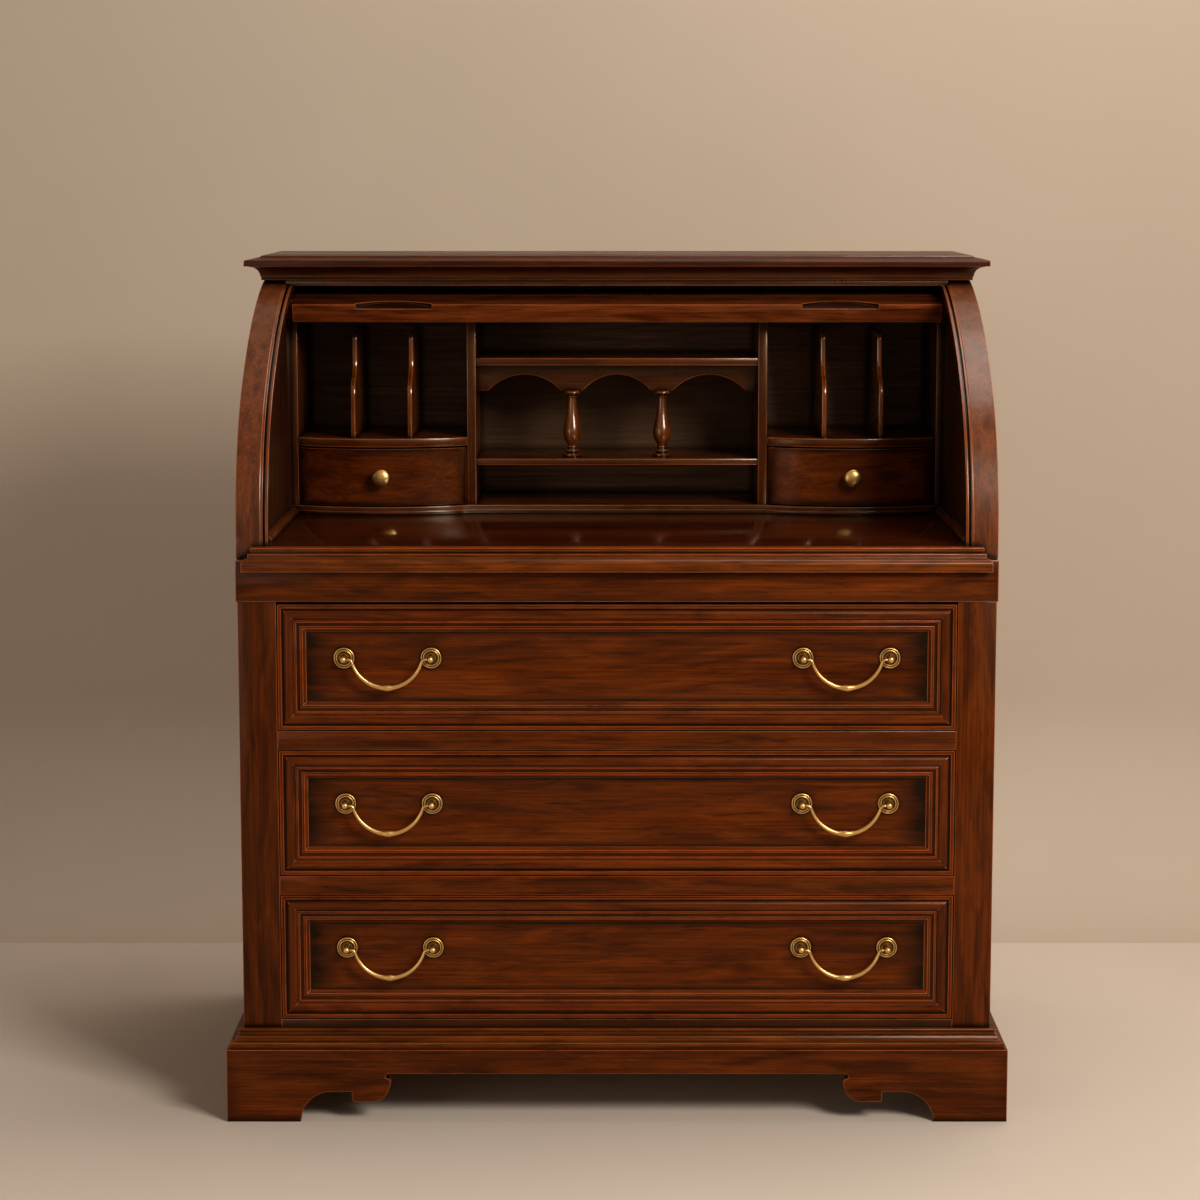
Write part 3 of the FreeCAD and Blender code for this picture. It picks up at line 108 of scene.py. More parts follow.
class Sheet:
    """Node tree that is filled from left to right."""

    def __init__(self, tree: bpy.types.NodeTree) -> None:
        """Start with an empty tree.

        Args:
            tree: Node tree of a material or a group.
        """
        self.tree = tree
        tree.nodes.clear()
        self.column = 0

    def add(self, kind: str, **settings: object) -> bpy.types.Node:
        """Add one node.

        Args:
            kind: Node type's identifier.
            settings: Attributes of the node to set.

        Returns:
            The new node.
        """
        made = self.tree.nodes.new(kind)
        made.location = (self.column * 190.0, -(self.column % 3) * 120.0)
        self.column += 1
        for name, value in settings.items():
            setattr(made, name, value)
        return made

    def wire(self, source: Socket, target: Socket) -> None:
        """Join an output to an input."""
        self.tree.links.new(source, target)

    def put(self, target: Socket, value: object) -> None:
        """Set an input to a value, or join it to an output."""
        if isinstance(value, Socket):
            self.wire(value, target)
        else:
            target.default_value = value

    def calc(self, operation: str, first: object, second: object = 0.0, clamp: bool = False) -> Socket:
        """Do one sum.

        Args:
            operation: Math node's operation.
            first: Value or socket.
            second: Value or socket.
            clamp: Whether the result is held between 0 and 1.

        Returns:
            The result's socket.
        """
        made = self.add("ShaderNodeMath", operation=operation, use_clamp=clamp)
        self.put(made.inputs[0], first)
        self.put(made.inputs[1], second)
        return made.outputs[0]

    def remap(self, value: object, low: float, high: float, to_low: float = 0.0,
              to_high: float = 1.0) -> Socket:
        """Stretch a value from one range to another, held at the ends.

        Args:
            value: Value or socket.
            low: Start of its range.
            high: End of its range.
            to_low: Start of the new range.
            to_high: End of the new range.

        Returns:
            The result's socket.
        """
        made = self.add("ShaderNodeMapRange", clamp=True)
        self.put(made.inputs["Value"], value)
        for name, number in (("From Min", low), ("From Max", high), ("To Min", to_low), ("To Max", to_high)):
            made.inputs[name].default_value = number
        return made.outputs["Result"]

    def noise(self, place: Socket, cloud: Cloud) -> Socket:
        """Sample cloudy noise.

        Args:
            place: Where it is sampled.
            cloud: Form of the noise.

        Returns:
            A value between 0 and 1.
        """
        if cloud.stretch is not None:
            mapping = self.add("ShaderNodeMapping")
            self.wire(place, mapping.inputs["Vector"])
            mapping.inputs["Scale"].default_value = cloud.stretch
            mapping.inputs["Location"].default_value = cloud.shift
            place = mapping.outputs["Vector"]
        made = self.add("ShaderNodeTexNoise")
        for name, value in (("Vector", place), ("Scale", cloud.scale), ("Detail", cloud.detail),
                            ("Roughness", cloud.rough), ("Distortion", cloud.distortion)):
            self.put(made.inputs[name], value)
        return made.outputs["Fac"]

    def blend(self, factor: object, first: object, second: object) -> Socket:
        """Mix two colours.

        Args:
            factor: Share of the second one.
            first: Colour or socket.
            second: Colour or socket.

        Returns:
            The mixed colour's socket.
        """
        made = self.add("ShaderNodeMix", data_type="RGBA", blend_type="MIX")
        self.put(made.inputs["Factor"], factor)
        self.put(made.inputs[6], first)
        self.put(made.inputs[7], second)
        return made.outputs[2]

    def group(self, tree: bpy.types.NodeTree, values: dict[str, object]) -> dict[str, Socket]:
        """Use a shared group.

        Args:
            tree: The group's node tree.
            values: Values or sockets for its inputs.

        Returns:
            The group's outputs by name.
        """
        made = self.add("ShaderNodeGroup", node_tree=tree)
        for name, value in values.items():
            self.put(made.inputs[name], value)
        return {output.name: output for output in made.outputs}

    def crevices(self, distance: float, samples: int, **settings: object) -> Socket:
        """Measure how open the surroundings are within a distance.

        Args:
            distance: Reach, in metres.
            samples: Rays for one point.
            settings: The node's other attributes.

        Returns:
            A value between 0, in a crevice, and 1.
        """
        made = self.add("ShaderNodeAmbientOcclusion", samples=samples, **settings)
        made.inputs["Distance"].default_value = distance
        return made.outputs["AO"]

    def bump(self, height: Socket, strength: float, distance: float) -> Socket:
        """Turn a height into a normal.

        Args:
            height: The height's socket.
            strength: Weight of the effect.
            distance: Height of a value of 1, in metres.

        Returns:
            The normal's socket.
        """
        made = self.add("ShaderNodeBump")
        made.inputs["Strength"].default_value = strength
        made.inputs["Distance"].default_value = distance
        self.wire(height, made.inputs["Height"])
        return made.outputs["Normal"]

    def surface(self, values: dict[str, object]) -> Socket:
        """Add the Principled shader.

        Args:
            values: Constants or sockets for its inputs.

        Returns:
            The shader's output.
        """
        made = self.add("ShaderNodeBsdfPrincipled")
        for name, value in values.items():
            self.put(made.inputs[name], value)
        return made.outputs[0]

    def choice(self, factor: Socket, first: Socket, second: Socket) -> Socket:
        """Mix two shaders.

        Args:
            factor: Share of the second one.
            first: A shader's output.
            second: A shader's output.

        Returns:
            The mixed shader's output.
        """
        made = self.add("ShaderNodeMixShader")
        for target, source in zip(made.inputs, (factor, first, second)):
            self.wire(source, target)
        return made.outputs[0]

    def close(self, kind: str, values: dict[str, Socket]) -> None:
        """End the tree with its output node."""
        made = self.add(kind)
        for name, value in values.items():
            self.wire(value, made.inputs[name])


class SharedEffects:
    """Shader groups that more than one material uses."""

    DRIFT: ClassVar[Cloud] = Cloud((2.2, 9.0, 9.0), rough=0.45)
    WANDER: ClassVar[Cloud] = Cloud((0.9, 3.5, 3.5), (3.1, 7.7, 1.3))
    RIPPLE: ClassVar[Cloud] = Cloud((14.0, 160.0, 160.0), (0.7, 0.2, 5.0))
    FIBRES: ClassVar[Cloud] = Cloud((5.0, 340.0, 340.0), (1.0, 4.0, 9.0), 4.0, 0.62)
    DASHES: ClassVar[Cloud] = Cloud((48.0, 1500.0, 1500.0), (5.0, 2.0, 6.0))
    BLOOM: ClassVar[Cloud] = Cloud((7.5, 46.0, 46.0), (2.0, 8.0, 4.0), 4.0, 0.58, 0.9)
    MARKS: ClassVar[Cloud] = Cloud((15.0, 240.0, 240.0), (9.0, 3.0, 2.0), distortion=1.2)
    PATCHES: ClassVar[Cloud] = Cloud(detail=4.0, rough=0.6, scale=34.0)
    SMEARS: ClassVar[Cloud] = Cloud((1.0, 2.4, 1.0), (6.0, 1.0, 3.0), 4.0, 0.62, 0.6, 5.5)
    DULL: ClassVar[Cloud] = Cloud(detail=3.0, scale=90.0)
    SCRATCHES: ClassVar[Cloud] = Cloud((240.0, 1500.0, 700.0), detail=3.0, rough=0.6)

    def __init__(self) -> None:
        """Build every group once."""
        self.figure = self._figure()
        self.wear_and_highlight = self._wear_and_highlight()
        self.painted_shade = self._edge_shade()
        self.tarnish = self._tarnish()

    @staticmethod
    def _group(recipe: Recipe, inputs: list[tuple[str, str, object]], outputs: list[str]) -> bpy.types.NodeTree:
        """Make an empty group with named sockets.

        Args:
            recipe: The group's name.
            inputs: Name, type and value of each input.
            outputs: The outputs' names.

        Returns:
            The group's node tree.
        """
        tree = bpy.data.node_groups.new(recipe.value, "ShaderNodeTree")
        for name, kind, value in inputs:
            socket = tree.interface.new_socket(name=name, in_out="INPUT", socket_type=kind)
            if value is not None:
                socket.default_value = value
        for name in outputs:
            tree.interface.new_socket(name=name, in_out="OUTPUT", socket_type="NodeSocketFloat")
        return tree

    def _figure(self) -> bpy.types.NodeTree:
        """Growth rings, fibres and pores along the first axis of the given place.

        Returns:
            The group's node tree.
        """
        tree = self._group(Recipe.FIGURE, [
            ("Place", "NodeSocketVector", None),
            ("Ring Spacing", "NodeSocketFloat", 70.0),
            ("Waviness", "NodeSocketFloat", 0.5),
        ], ["Rings", "Fibres", "Pores", "Clouds", "Flecks"])
        sheet = Sheet(tree)
        given = sheet.add("NodeGroupInput")
        place = given.outputs["Place"]
        drift = sheet.noise(place, self.DRIFT)
        wander = sheet.noise(place, self.WANDER)
        split = sheet.add("ShaderNodeSeparateXYZ")
        sheet.wire(place, split.inputs[0])
        sway = sheet.calc("MULTIPLY", sheet.calc("SUBTRACT", drift, 0.5), given.outputs["Waviness"])
        swing = sheet.calc("MULTIPLY", sheet.calc("SUBTRACT", wander, 0.5), 0.36)
        side = sheet.calc("ADD", split.outputs["Y"], sheet.calc("MULTIPLY", sway, 0.09))
        depth = sheet.calc("ADD", sheet.calc("ADD", split.outputs["Z"], swing), 0.05)
        reach = sheet.calc("SQRT", sheet.calc("ADD", sheet.calc("MULTIPLY", side, side),
                                              sheet.calc("MULTIPLY", depth, depth)))
        turns = sheet.calc("MULTIPLY", reach, given.outputs["Ring Spacing"])
        turns = sheet.calc("ADD", turns, sheet.calc("MULTIPLY", sheet.noise(place, self.RIPPLE), 0.45))
        wave = sheet.calc("SINE", sheet.calc("MULTIPLY", turns, 2 * math.pi))
        rings = sheet.calc("POWER", sheet.remap(wave, -1.0, 1.0), 1.7)
        fibres = sheet.noise(place, self.FIBRES)
        dashes = sheet.remap(sheet.noise(place, self.DASHES), 0.60, 0.74)
        sheet.close("NodeGroupOutput", {
            "Rings": rings, "Fibres": fibres, "Clouds": sheet.noise(place, self.BLOOM),
            "Pores": sheet.calc("MULTIPLY", dashes, sheet.remap(fibres, 0.32, 0.6)),
            "Flecks": sheet.remap(sheet.noise(place, self.MARKS), 0.56, 0.74)})
        return tree

    def _wear_and_highlight(self) -> bpy.types.NodeTree:
        """Broken mask of rubbed edges, which also carry a painted highlight, and smears left by hands and cloths.

        Returns:
            The group's node tree.
        """
        tree = self._group(Recipe.WEAR, [
            ("Place", "NodeSocketVector", None),
            ("Edge", "NodeSocketFloat", 0.0),
            ("Amount", "NodeSocketFloat", 0.5),
        ], ["Rub And Highlight", "Smears"])
        sheet = Sheet(tree)
        given = sheet.add("NodeGroupInput")
        place = given.outputs["Place"]
        broken = sheet.remap(sheet.noise(place, self.PATCHES), 0.28, 0.52, 0.25, 1.0)
        rub_and_highlight = sheet.calc("MULTIPLY", given.outputs["Edge"], broken)
        rub_and_highlight = sheet.calc("MULTIPLY", rub_and_highlight, given.outputs["Amount"], True)
        sheet.close("NodeGroupOutput", {"Rub And Highlight": rub_and_highlight, "Smears": sheet.noise(place, self.SMEARS)})
        return tree

    def _edge_shade(self) -> bpy.types.NodeTree:
        """Painted shade that thickens, unevenly, towards the edges of a board or panel.

        Returns:
            The group's node tree.
        """
        tree = self._group(Recipe.GLAZE, [
            ("Low", "NodeSocketVector", None),
            ("High", "NodeSocketVector", None),
            ("Clouds", "NodeSocketFloat", 0.5),
        ], ["Edge Shade"])
        sheet = Sheet(tree)
        given = sheet.add("NodeGroupInput")
        nearest = None
        for name in ("Low", "High"):
            split = sheet.add("ShaderNodeSeparateXYZ")
            sheet.wire(given.outputs[name], split.inputs[0])
            larger = sheet.calc("MAXIMUM", split.outputs["X"], split.outputs["Y"])
            nearest = larger if nearest is None else sheet.calc("MAXIMUM", nearest, larger)
        drift = sheet.calc("MULTIPLY", sheet.calc("SUBTRACT", given.outputs["Clouds"], 0.5), 1.3)
        sheet.close("NodeGroupOutput", {"Edge Shade": sheet.remap(sheet.calc("ADD", nearest, drift), 0.05, 0.95)})
        return tree

    def _tarnish(self) -> bpy.types.NodeTree:
        """Dull patches and fine scratches on brass.

        Returns:
            The group's node tree.
        """
        tree = self._group(Recipe.TARNISH, [("Place", "NodeSocketVector", None)], ["Dull", "Scratches"])
        sheet = Sheet(tree)
        given = sheet.add("NodeGroupInput")
        place = given.outputs["Place"]
        dull = sheet.remap(sheet.noise(place, self.DULL), 0.30, 0.70)
        sheet.close("NodeGroupOutput", {"Dull": dull, "Scratches": sheet.noise(place, self.SCRATCHES)})
        return tree


@dataclass(frozen=True)
class WoodFinish:
    """Stained and lacquered wood.

    Attributes:
        name: Material's name.
        shade: Colour of the dark rings.
        body: Colour between the rings.
        glow: Colour of the light streaks.
        ring_spacing: Rings to the metre.
        waviness: How far the rings wander.
        contrast: Strength of the rings.
        gloss: Roughness of the lacquer.
        shine: Specular level of the stained wood.
        lacquer: Weight of the clear coat.
        painted_shade: How dark the painted shade gathers in hollows.
        rim: How dark the painted shade gathers towards the ends of a board.
        rub_and_highlight: How far the edges are worn and lit with a painted highlight.
        relief: Height of the fibres under the lacquer, in metres.
        mirrored: Colour of the reflections in the stained wood.
    """

    name: str
    shade: Colour
    body: Colour
    glow: Colour
    ring_spacing: float = 62.0
    waviness: float = 1.0
    contrast: float = 0.6
    gloss: float = 0.34
    shine: float = 0.14
    lacquer: float = 0.08
    painted_shade: float = 0.95
    rim: float = 0.35
    rub_and_highlight: float = 0.62
    relief: float = 0.00006
    mirrored: Colour = (1.0, 0.64, 0.32)

    ARRIS_REACH: ClassVar[float] = 0.0016
    ARRIS_HIGHLIGHT: ClassVar[float] = 3.0
    HOLLOW_REACH: ClassVar[float] = 0.009
    HOLLOW_SHADE: ClassVar[float] = 0.14
    SHADE_AND_STAIN_TONE: ClassVar[float] = 0.35
    PORE_SHADE: ClassVar[float] = 0.3
    RUB_POLISH: ClassVar[float] = 0.8
    COAT_GLOSS: ClassVar[float] = 0.16
    LACQUER_IOR: ClassVar[float] = 1.5

    def build(self, effects: SharedEffects) -> bpy.types.Material:
        """Make the material.

        Args:
            effects: The shared shader groups.

        Returns:
            The material.
        """
        material = bpy.data.materials.new(self.name)
        material.use_nodes = True
        sheet = Sheet(material.node_tree)
        figure = sheet.group(effects.figure, {
            "Place": self._mark(sheet, "fibre_place", "Vector"), "Ring Spacing": self.ring_spacing,
            "Waviness": self.waviness})
        # Convex edges, found by rays inside the board, take the painted highlight along with the real edge wear.
        arris = sheet.remap(sheet.crevices(self.ARRIS_REACH, 6, inside=True, only_local=True), 0.62, 0.86, 1.0, 0.0)
        wear_and_highlight = sheet.group(effects.wear_and_highlight, {
            "Place": sheet.add("ShaderNodeTexCoord").outputs["Object"], "Amount": self.rub_and_highlight,
            "Edge": sheet.calc("MAXIMUM", self._mark(sheet, "edge", "Fac"), arris)})
        brim = sheet.group(effects.painted_shade, {
            "Low": self._mark(sheet, "rim_low", "Vector"), "High": self._mark(sheet, "rim_high", "Vector"),
            "Clouds": figure["Clouds"]})
        tone = self._stained_and_shaded(sheet, figure, brim["Edge Shade"])
        # Painted highlight: worn and convex edges turn much lighter than the wood's own light streaks.
        tone = sheet.blend(wear_and_highlight["Rub And Highlight"], tone, (*[min(c * self.ARRIS_HIGHLIGHT, 1.0) for c in self.glow], 1.0))
        # Painted shade: crevices and hollows darken towards near black.
        painted_hollow_shade = sheet.remap(sheet.crevices(self.HOLLOW_REACH, 6), 0.60, 0.95, self.painted_shade, 0.0)
        tone = sheet.blend(painted_hollow_shade, tone, self._darker(self.HOLLOW_SHADE))

        rough = sheet.remap(wear_and_highlight["Smears"], 0.3, 0.7, self.gloss - 0.05, self.gloss + 0.09)
        rough = sheet.calc("ADD", rough, sheet.calc("MULTIPLY", figure["Pores"], 0.2))
        rough = sheet.calc("ADD", rough, sheet.calc("MULTIPLY", wear_and_highlight["Rub And Highlight"], 0.08), True)
        height = sheet.calc("SUBTRACT", sheet.calc("MULTIPLY", figure["Fibres"], 0.5),
                            sheet.calc("MULTIPLY", figure["Pores"], 0.9))
        height = sheet.calc("SUBTRACT", height, sheet.calc("MULTIPLY", figure["Rings"], 0.15))
        polish = sheet.calc("ADD", sheet.calc("MULTIPLY", wear_and_highlight["Rub And Highlight"], self.RUB_POLISH), self.lacquer, True)
        sheet.close("ShaderNodeOutputMaterial", {"Surface": sheet.surface({
            "Base Color": tone, "Roughness": rough, "Normal": sheet.bump(height, 0.55, self.relief),
            "IOR": self.LACQUER_IOR, "Specular IOR Level": self.shine, "Specular Tint": (*self.mirrored, 1.0),
            "Coat Weight": polish, "Coat Roughness": self.COAT_GLOSS, "Coat IOR": self.LACQUER_IOR})})
        return material

    def _darker(self, share: float) -> tuple[float, ...]:
        """Darken the shade to a share of itself."""
        return (*[c * share for c in self.shade], 1.0)

    @staticmethod
    def _mark(sheet: Sheet, name: str, output: str) -> Socket:
        """Read what the bench has noted on the mesh."""
        return sheet.add("ShaderNodeAttribute", attribute_name=name).outputs[output]

    def _stained_and_shaded(self, sheet: Sheet, figure: dict[str, Socket], rim: Socket) -> Socket:
        """Colour the figure, then darken it towards its edges and on marked faces, mostly with painted shade.

        Args:
            sheet: The material's nodes.
            figure: Outputs of the figure group.
            rim: Mask of the painted shade towards the edges of the board.

        Returns:
            The colour before wear.
        """
        dark, light = (*self.shade, 1.0), (*self.glow, 1.0)
        tone = sheet.blend(sheet.calc("MULTIPLY", figure["Rings"], self.contrast), (*self.body, 1.0), dark)
        tone = sheet.blend(sheet.remap(figure["Clouds"], 0.40, 0.68, 0.0, 0.8), tone, light)
        tone = sheet.blend(sheet.calc("MULTIPLY", figure["Flecks"], 0.65), tone, dark)
        shaded = sheet.add("ShaderNodeVectorMath", operation="SCALE")
        sheet.wire(tone, shaded.inputs[0])
        sheet.wire(sheet.remap(figure["Fibres"], 0.3, 0.72, 0.58, 1.42), shaded.inputs["Scale"])
        pores = sheet.calc("MULTIPLY", figure["Pores"], 0.8)
        tone = sheet.blend(pores, shaded.outputs[0], self._darker(self.PORE_SHADE))
        depth = sheet.calc("MAXIMUM", sheet.calc("MULTIPLY", rim, self.rim), self._mark(sheet, "shade_and_stain", "Fac"))
        return sheet.blend(depth, tone, self._darker(self.SHADE_AND_STAIN_TONE))


@dataclass(frozen=True)
class BrassFinish:
    """Aged cast brass with polished high spots.

    Attributes:
        name: Material's name.
        bright: Colour where hands polish it.
        dull: Colour of the tarnish.
        dark: Colour of the painted shade in the hollows.
    """

    name: str
    bright: Colour
    dull: Colour
    dark: Colour

    def build(self, effects: SharedEffects) -> bpy.types.Material:
        """Make the material.

        Args:
            effects: The shared shader groups.

        Returns:
            The material.
        """
        material = bpy.data.materials.new(self.name)
        material.use_nodes = True
        sheet = Sheet(material.node_tree)
        tarnish = sheet.group(effects.tarnish, {"Place": sheet.add("ShaderNodeTexCoord").outputs["Object"]})
        # Painted shade: hollows darken towards the dark colour, standing in for dark reflections.
        painted_hollow_shade = sheet.remap(sheet.crevices(0.012, 8), 0.52, 0.96, 0.95, 0.0)
        tone = sheet.blend(sheet.calc("MULTIPLY", tarnish["Dull"], 0.5), (*self.bright, 1.0), (*self.dull, 1.0))
        tone = sheet.blend(painted_hollow_shade, tone, (*self.dark, 1.0))
        rough = sheet.remap(tarnish["Dull"], 0.0, 1.0, 0.27, 0.34)
        rough = sheet.calc("ADD", rough, sheet.remap(tarnish["Scratches"], 0.35, 0.7, -0.02, 0.03))
        rough = sheet.calc("ADD", rough, sheet.calc("MULTIPLY", painted_hollow_shade, 0.2), True)
        sheet.close("ShaderNodeOutputMaterial", {"Surface": sheet.surface({
            "Base Color": tone, "Metallic": 1.0, "Roughness": rough,
            "Normal": sheet.bump(tarnish["Dull"], 0.06, 0.00005)})})
        return material


# Working with pieces


class Bench:
    """Place where pieces are cut, softened and dressed."""

    WELD: ClassVar[float] = 0.00002
    FLAT_ANGLE: ClassVar[float] = 0.3
    BOARD_CREASE: ClassVar[float] = 28.0
    PLANK_STEP: ClassVar[float] = 3.77
    GRAIN_STEP: ClassVar[float] = 1.31
    HEART_SHIFT: ClassVar[float] = 0.12

    def __init__(self) -> None:
        """Start with nothing made."""
        self.seed = 0

    @staticmethod
    def clear() -> None:
        """Deselect everything."""
        if bpy.context.object and bpy.context.object.mode != "OBJECT":
            bpy.ops.object.mode_set(mode="OBJECT")
        bpy.ops.object.select_all(action="DESELECT")

    def pick(self, piece: Piece) -> None:
        """Make one piece the only selected and active one."""
        self.clear()
        piece.select_set(True)
        bpy.context.view_layer.objects.active = piece

    @contextmanager
    def editing(self, piece: Piece) -> Iterator[bmesh.types.BMesh]:
        """Open a piece's mesh in edit mode with everything selected.

        Args:
            piece: Piece to work on.

        Yields:
            The mesh's form, good until an operator changes it.
        """
        self.pick(piece)
        bpy.ops.object.mode_set(mode="EDIT")
        bpy.ops.mesh.select_all(action="SELECT")
        yield bmesh.from_edit_mesh(piece.data)
        bpy.ops.object.mode_set(mode="OBJECT")

    @staticmethod
    def note(piece: Piece, name: str, kind: str, values: np.ndarray) -> None:
        """Store a value for every corner of a piece."""
        field = "vector" if kind == "FLOAT_VECTOR" else "value"
        piece.data.attributes.new(name, kind, "CORNER").data.foreach_set(field, values)

    def copy_node(self, node: str, name: str, joints: Optional[Callable[[Vector], bool]] = None) -> Piece:
        """Copy a CAD node's mesh as a clean new piece.

        Args:
            node: CAD node's name.
            name: New piece's name.
            joints: Test for points on a joint line that flat faces must keep.

        Returns:
            The new piece.
        """
        source = frame["nodes"][node]
        piece = bpy.data.objects.new(name, source.data.copy())
        bpy.context.scene.collection.objects.link(piece)
        piece.data.name = name
        piece.data.materials.clear()
        with self.editing(piece):
            bpy.ops.mesh.remove_doubles(threshold=self.WELD)
            limits = {"angle_limit": math.radians(self.FLAT_ANGLE)}
            if joints is not None:
                form = bmesh.from_edit_mesh(piece.data)
                for edge in form.edges:
                    edge.seam = joints(edge.verts[0].co) and joints(edge.verts[1].co)
                bmesh.update_edit_mesh(piece.data)
                limits["delimit"] = {"SEAM"}
            bpy.ops.mesh.dissolve_limited(**limits)
        return piece

    def soften(self, piece: Piece, width: float, angle: float = 32.0) -> None:
        """Round the arrises and mark them as worn edges, which also take a painted highlight.

        Args:
            piece: Piece to work on.
            width: Width of the rounding, in metres.
            angle: Edges flatter than this, in degrees, stay.
        """
        self.pick(piece)
        mesh = piece.data
        mesh.materials.clear()
        marks = [bpy.data.materials.new(name) for name in ("plain", "worn")]
        for mark in marks:
            mesh.materials.append(mark)
        mesh.polygons.foreach_set("material_index", [0] * len(mesh.polygons))
        tool = piece.modifiers.new("arris", "BEVEL")
        for name, value in {"width": width, "segments": 2, "limit_method": "ANGLE", "use_clamp_overlap": True,
                            "angle_limit": math.radians(angle), "miter_outer": "MITER_SHARP", "material": 1}.items():
            setattr(tool, name, value)
        bpy.ops.object.modifier_apply(modifier=tool.name)
        mesh = piece.data
        worn = np.zeros(len(mesh.polygons), dtype=np.int32)
        mesh.polygons.foreach_get("material_index", worn)
        counts = np.zeros(len(mesh.polygons), dtype=np.int32)
        mesh.polygons.foreach_get("loop_total", counts)
        self.note(piece, "edge", "FLOAT", np.repeat(worn.astype(np.float32), counts))
        mesh.polygons.foreach_set("material_index", [0] * len(mesh.polygons))
        mesh.materials.clear()
        for mark in marks:
            bpy.data.materials.remove(mark)
        self.pick(piece)
        bpy.ops.object.shade_smooth_by_angle(angle=math.radians(self.BOARD_CREASE))

    def lay_grain(self, piece: Piece, rule: Callable[[Vector], Grain], shared: bool = False) -> None:
        """Give every corner its place along and across its board's fibres.

        Args:
            piece: Piece to work on.
            rule: Fibre direction for a face, from the face's middle.
            shared: Whether all boards in the piece are cut from one plank.
        """
        mesh = piece.data
        form = bmesh.new()
        form.from_mesh(mesh)
        form.faces.ensure_lookup_table()
        board = [-1] * len(form.faces)
        boards = 0
        for start in form.faces:
            if board[start.index] >= 0:
                continue
            board[start.index] = boards
            queue = [start]
            while queue:
                face = queue.pop()
                for edge in face.edges:
                    for other in edge.link_faces:
                        if board[other.index] < 0:
                            board[other.index] = boards
                            queue.append(other)
            boards += 1
        form.free()
        places = np.zeros((len(mesh.loops), 3), dtype=np.float32)
        orders = {Grain.ACROSS: (0, 1, 2), Grain.DEEP: (1, 0, 2), Grain.UPRIGHT: (2, 0, 1)}
        for face in mesh.polygons:
            grain = rule(face.center)
            plank = self.seed if shared else self.seed + board[face.index]
            shift = (plank * self.PLANK_STEP + grain.value * self.GRAIN_STEP,
                     math.sin(plank * 2.1) * self.HEART_SHIFT, math.cos(plank * 1.7) * self.HEART_SHIFT)
            for corner in face.loop_indices:
                spot = mesh.vertices[mesh.loops[corner].vertex_index].co
                places[corner] = [spot[axis] + step for axis, step in zip(orders[grain], shift)]
        self.note(piece, "fibre_place", "FLOAT_VECTOR", places.ravel())
        self.seed += 1 if shared else boards

    def mark_rims(self, piece: Piece,
                  areas: list[tuple[Callable[[Vector], bool], Point, Point, Point]]) -> None:
        """Note how near each corner is to the edges of its area.

        Args:
            piece: Piece to work on.
            areas: Tests for a face's middle, each with its area's lowest and highest corner and the
            painted shade's reach along x, y and z, in metres.
        """
        mesh = piece.data
        near = np.zeros((2, len(mesh.loops), 3), dtype=np.float32)
        for face in mesh.polygons:
            found = [area for area in areas if area[0](face.center)]
            if not found:
                continue
            _, low, high, reach = found[0]
            flat = sorted(range(3), key=lambda axis: abs(face.normal[axis]))[:2]
            for corner in face.loop_indices:
                spot = mesh.vertices[mesh.loops[corner].vertex_index].co
                for place, axis in enumerate(flat):
                    near[0, corner, place] = 1.0 - (spot[axis] - low[axis]) / reach[axis]
                    near[1, corner, place] = 1.0 - (high[axis] - spot[axis]) / reach[axis]
        for name, values in zip(("rim_low", "rim_high"), near):
            self.note(piece, name, "FLOAT_VECTOR", values.ravel())

    def shade_and_stain(self, piece: Piece, rule: Callable[[Vector, Vector], float]) -> None:
        """Darken some faces, mostly with painted shade.

        Args:
            piece: Piece to work on.
            rule: How dark a face is made, from its middle and normal.
        """
        faces = piece.data.polygons
        depths = np.array([rule(face.center, face.normal) for face in faces], dtype=np.float32)
        self.note(piece, "shade_and_stain", "FLOAT", np.repeat(depths, [face.loop_total for face in faces]))

    def split(self, piece: Piece, planes: list[tuple[Point, Point]]) -> None:
        """Divide a piece's faces where planes meet them.

        Args:
            piece: Piece to work on.
            planes: A point on each plane, and its direction.
        """
        with self.editing(piece):
            for spot, way in planes:
                bpy.ops.mesh.select_all(action="SELECT")
                bpy.ops.mesh.bisect(plane_co=spot, plane_no=way)

    def groove(self, piece: Piece, low: float, high: float, depth: float) -> None:
        """Press a level groove into a piece's front faces.

        Args:
            piece: Piece to work on.
            low: Height of the groove's lower edge.
            high: Height of its upper edge.
            depth: Depth of the groove.
        """
        self.split(piece, [((0.0, 0.0, height), UPWARDS) for height in (low, high)])
        with self.editing(piece):
            bpy.ops.mesh.select_all(action="DESELECT")
            bpy.ops.mesh.select_mode(type="FACE")
            form = bmesh.from_edit_mesh(piece.data)
            for face in form.faces:
                face.select_set(low < face.calc_center_median().z < high and face.normal.y < -0.3)
            bmesh.update_edit_mesh(piece.data)
            bpy.ops.mesh.extrude_region_shrink_fatten(TRANSFORM_OT_shrink_fatten={"value": -depth})
            bpy.ops.mesh.select_mode(type="VERT")

    def disc(self, name: str, sides: int, radius: float, height: float = 0.0) -> Piece:
        """Add a flat disc that a form is extruded from.

        Args:
            name: New piece's name.
            sides: Sides of the circle.
            radius: Its radius.
            height: Height over the origin.

        Returns:
            The new piece.
        """
        self.clear()
        bpy.ops.mesh.primitive_circle_add(vertices=sides, radius=radius, fill_type="NGON", location=(0.0, 0.0, height))
        piece = bpy.context.object
        piece.name = name
        piece.data.name = name
        return piece

    def seal(self, piece: Piece, crease: float) -> None:
        """Turn an extruded form's faces outward and smooth it.

        Args:
            piece: The form.
            crease: Edges flatter than this, in degrees, are smooth.
        """
        with self.editing(piece):
            bpy.ops.mesh.normals_make_consistent(inside=False)
        self.settle(piece)
        self.pick(piece)
        bpy.ops.object.shade_smooth_by_angle(angle=math.radians(crease))

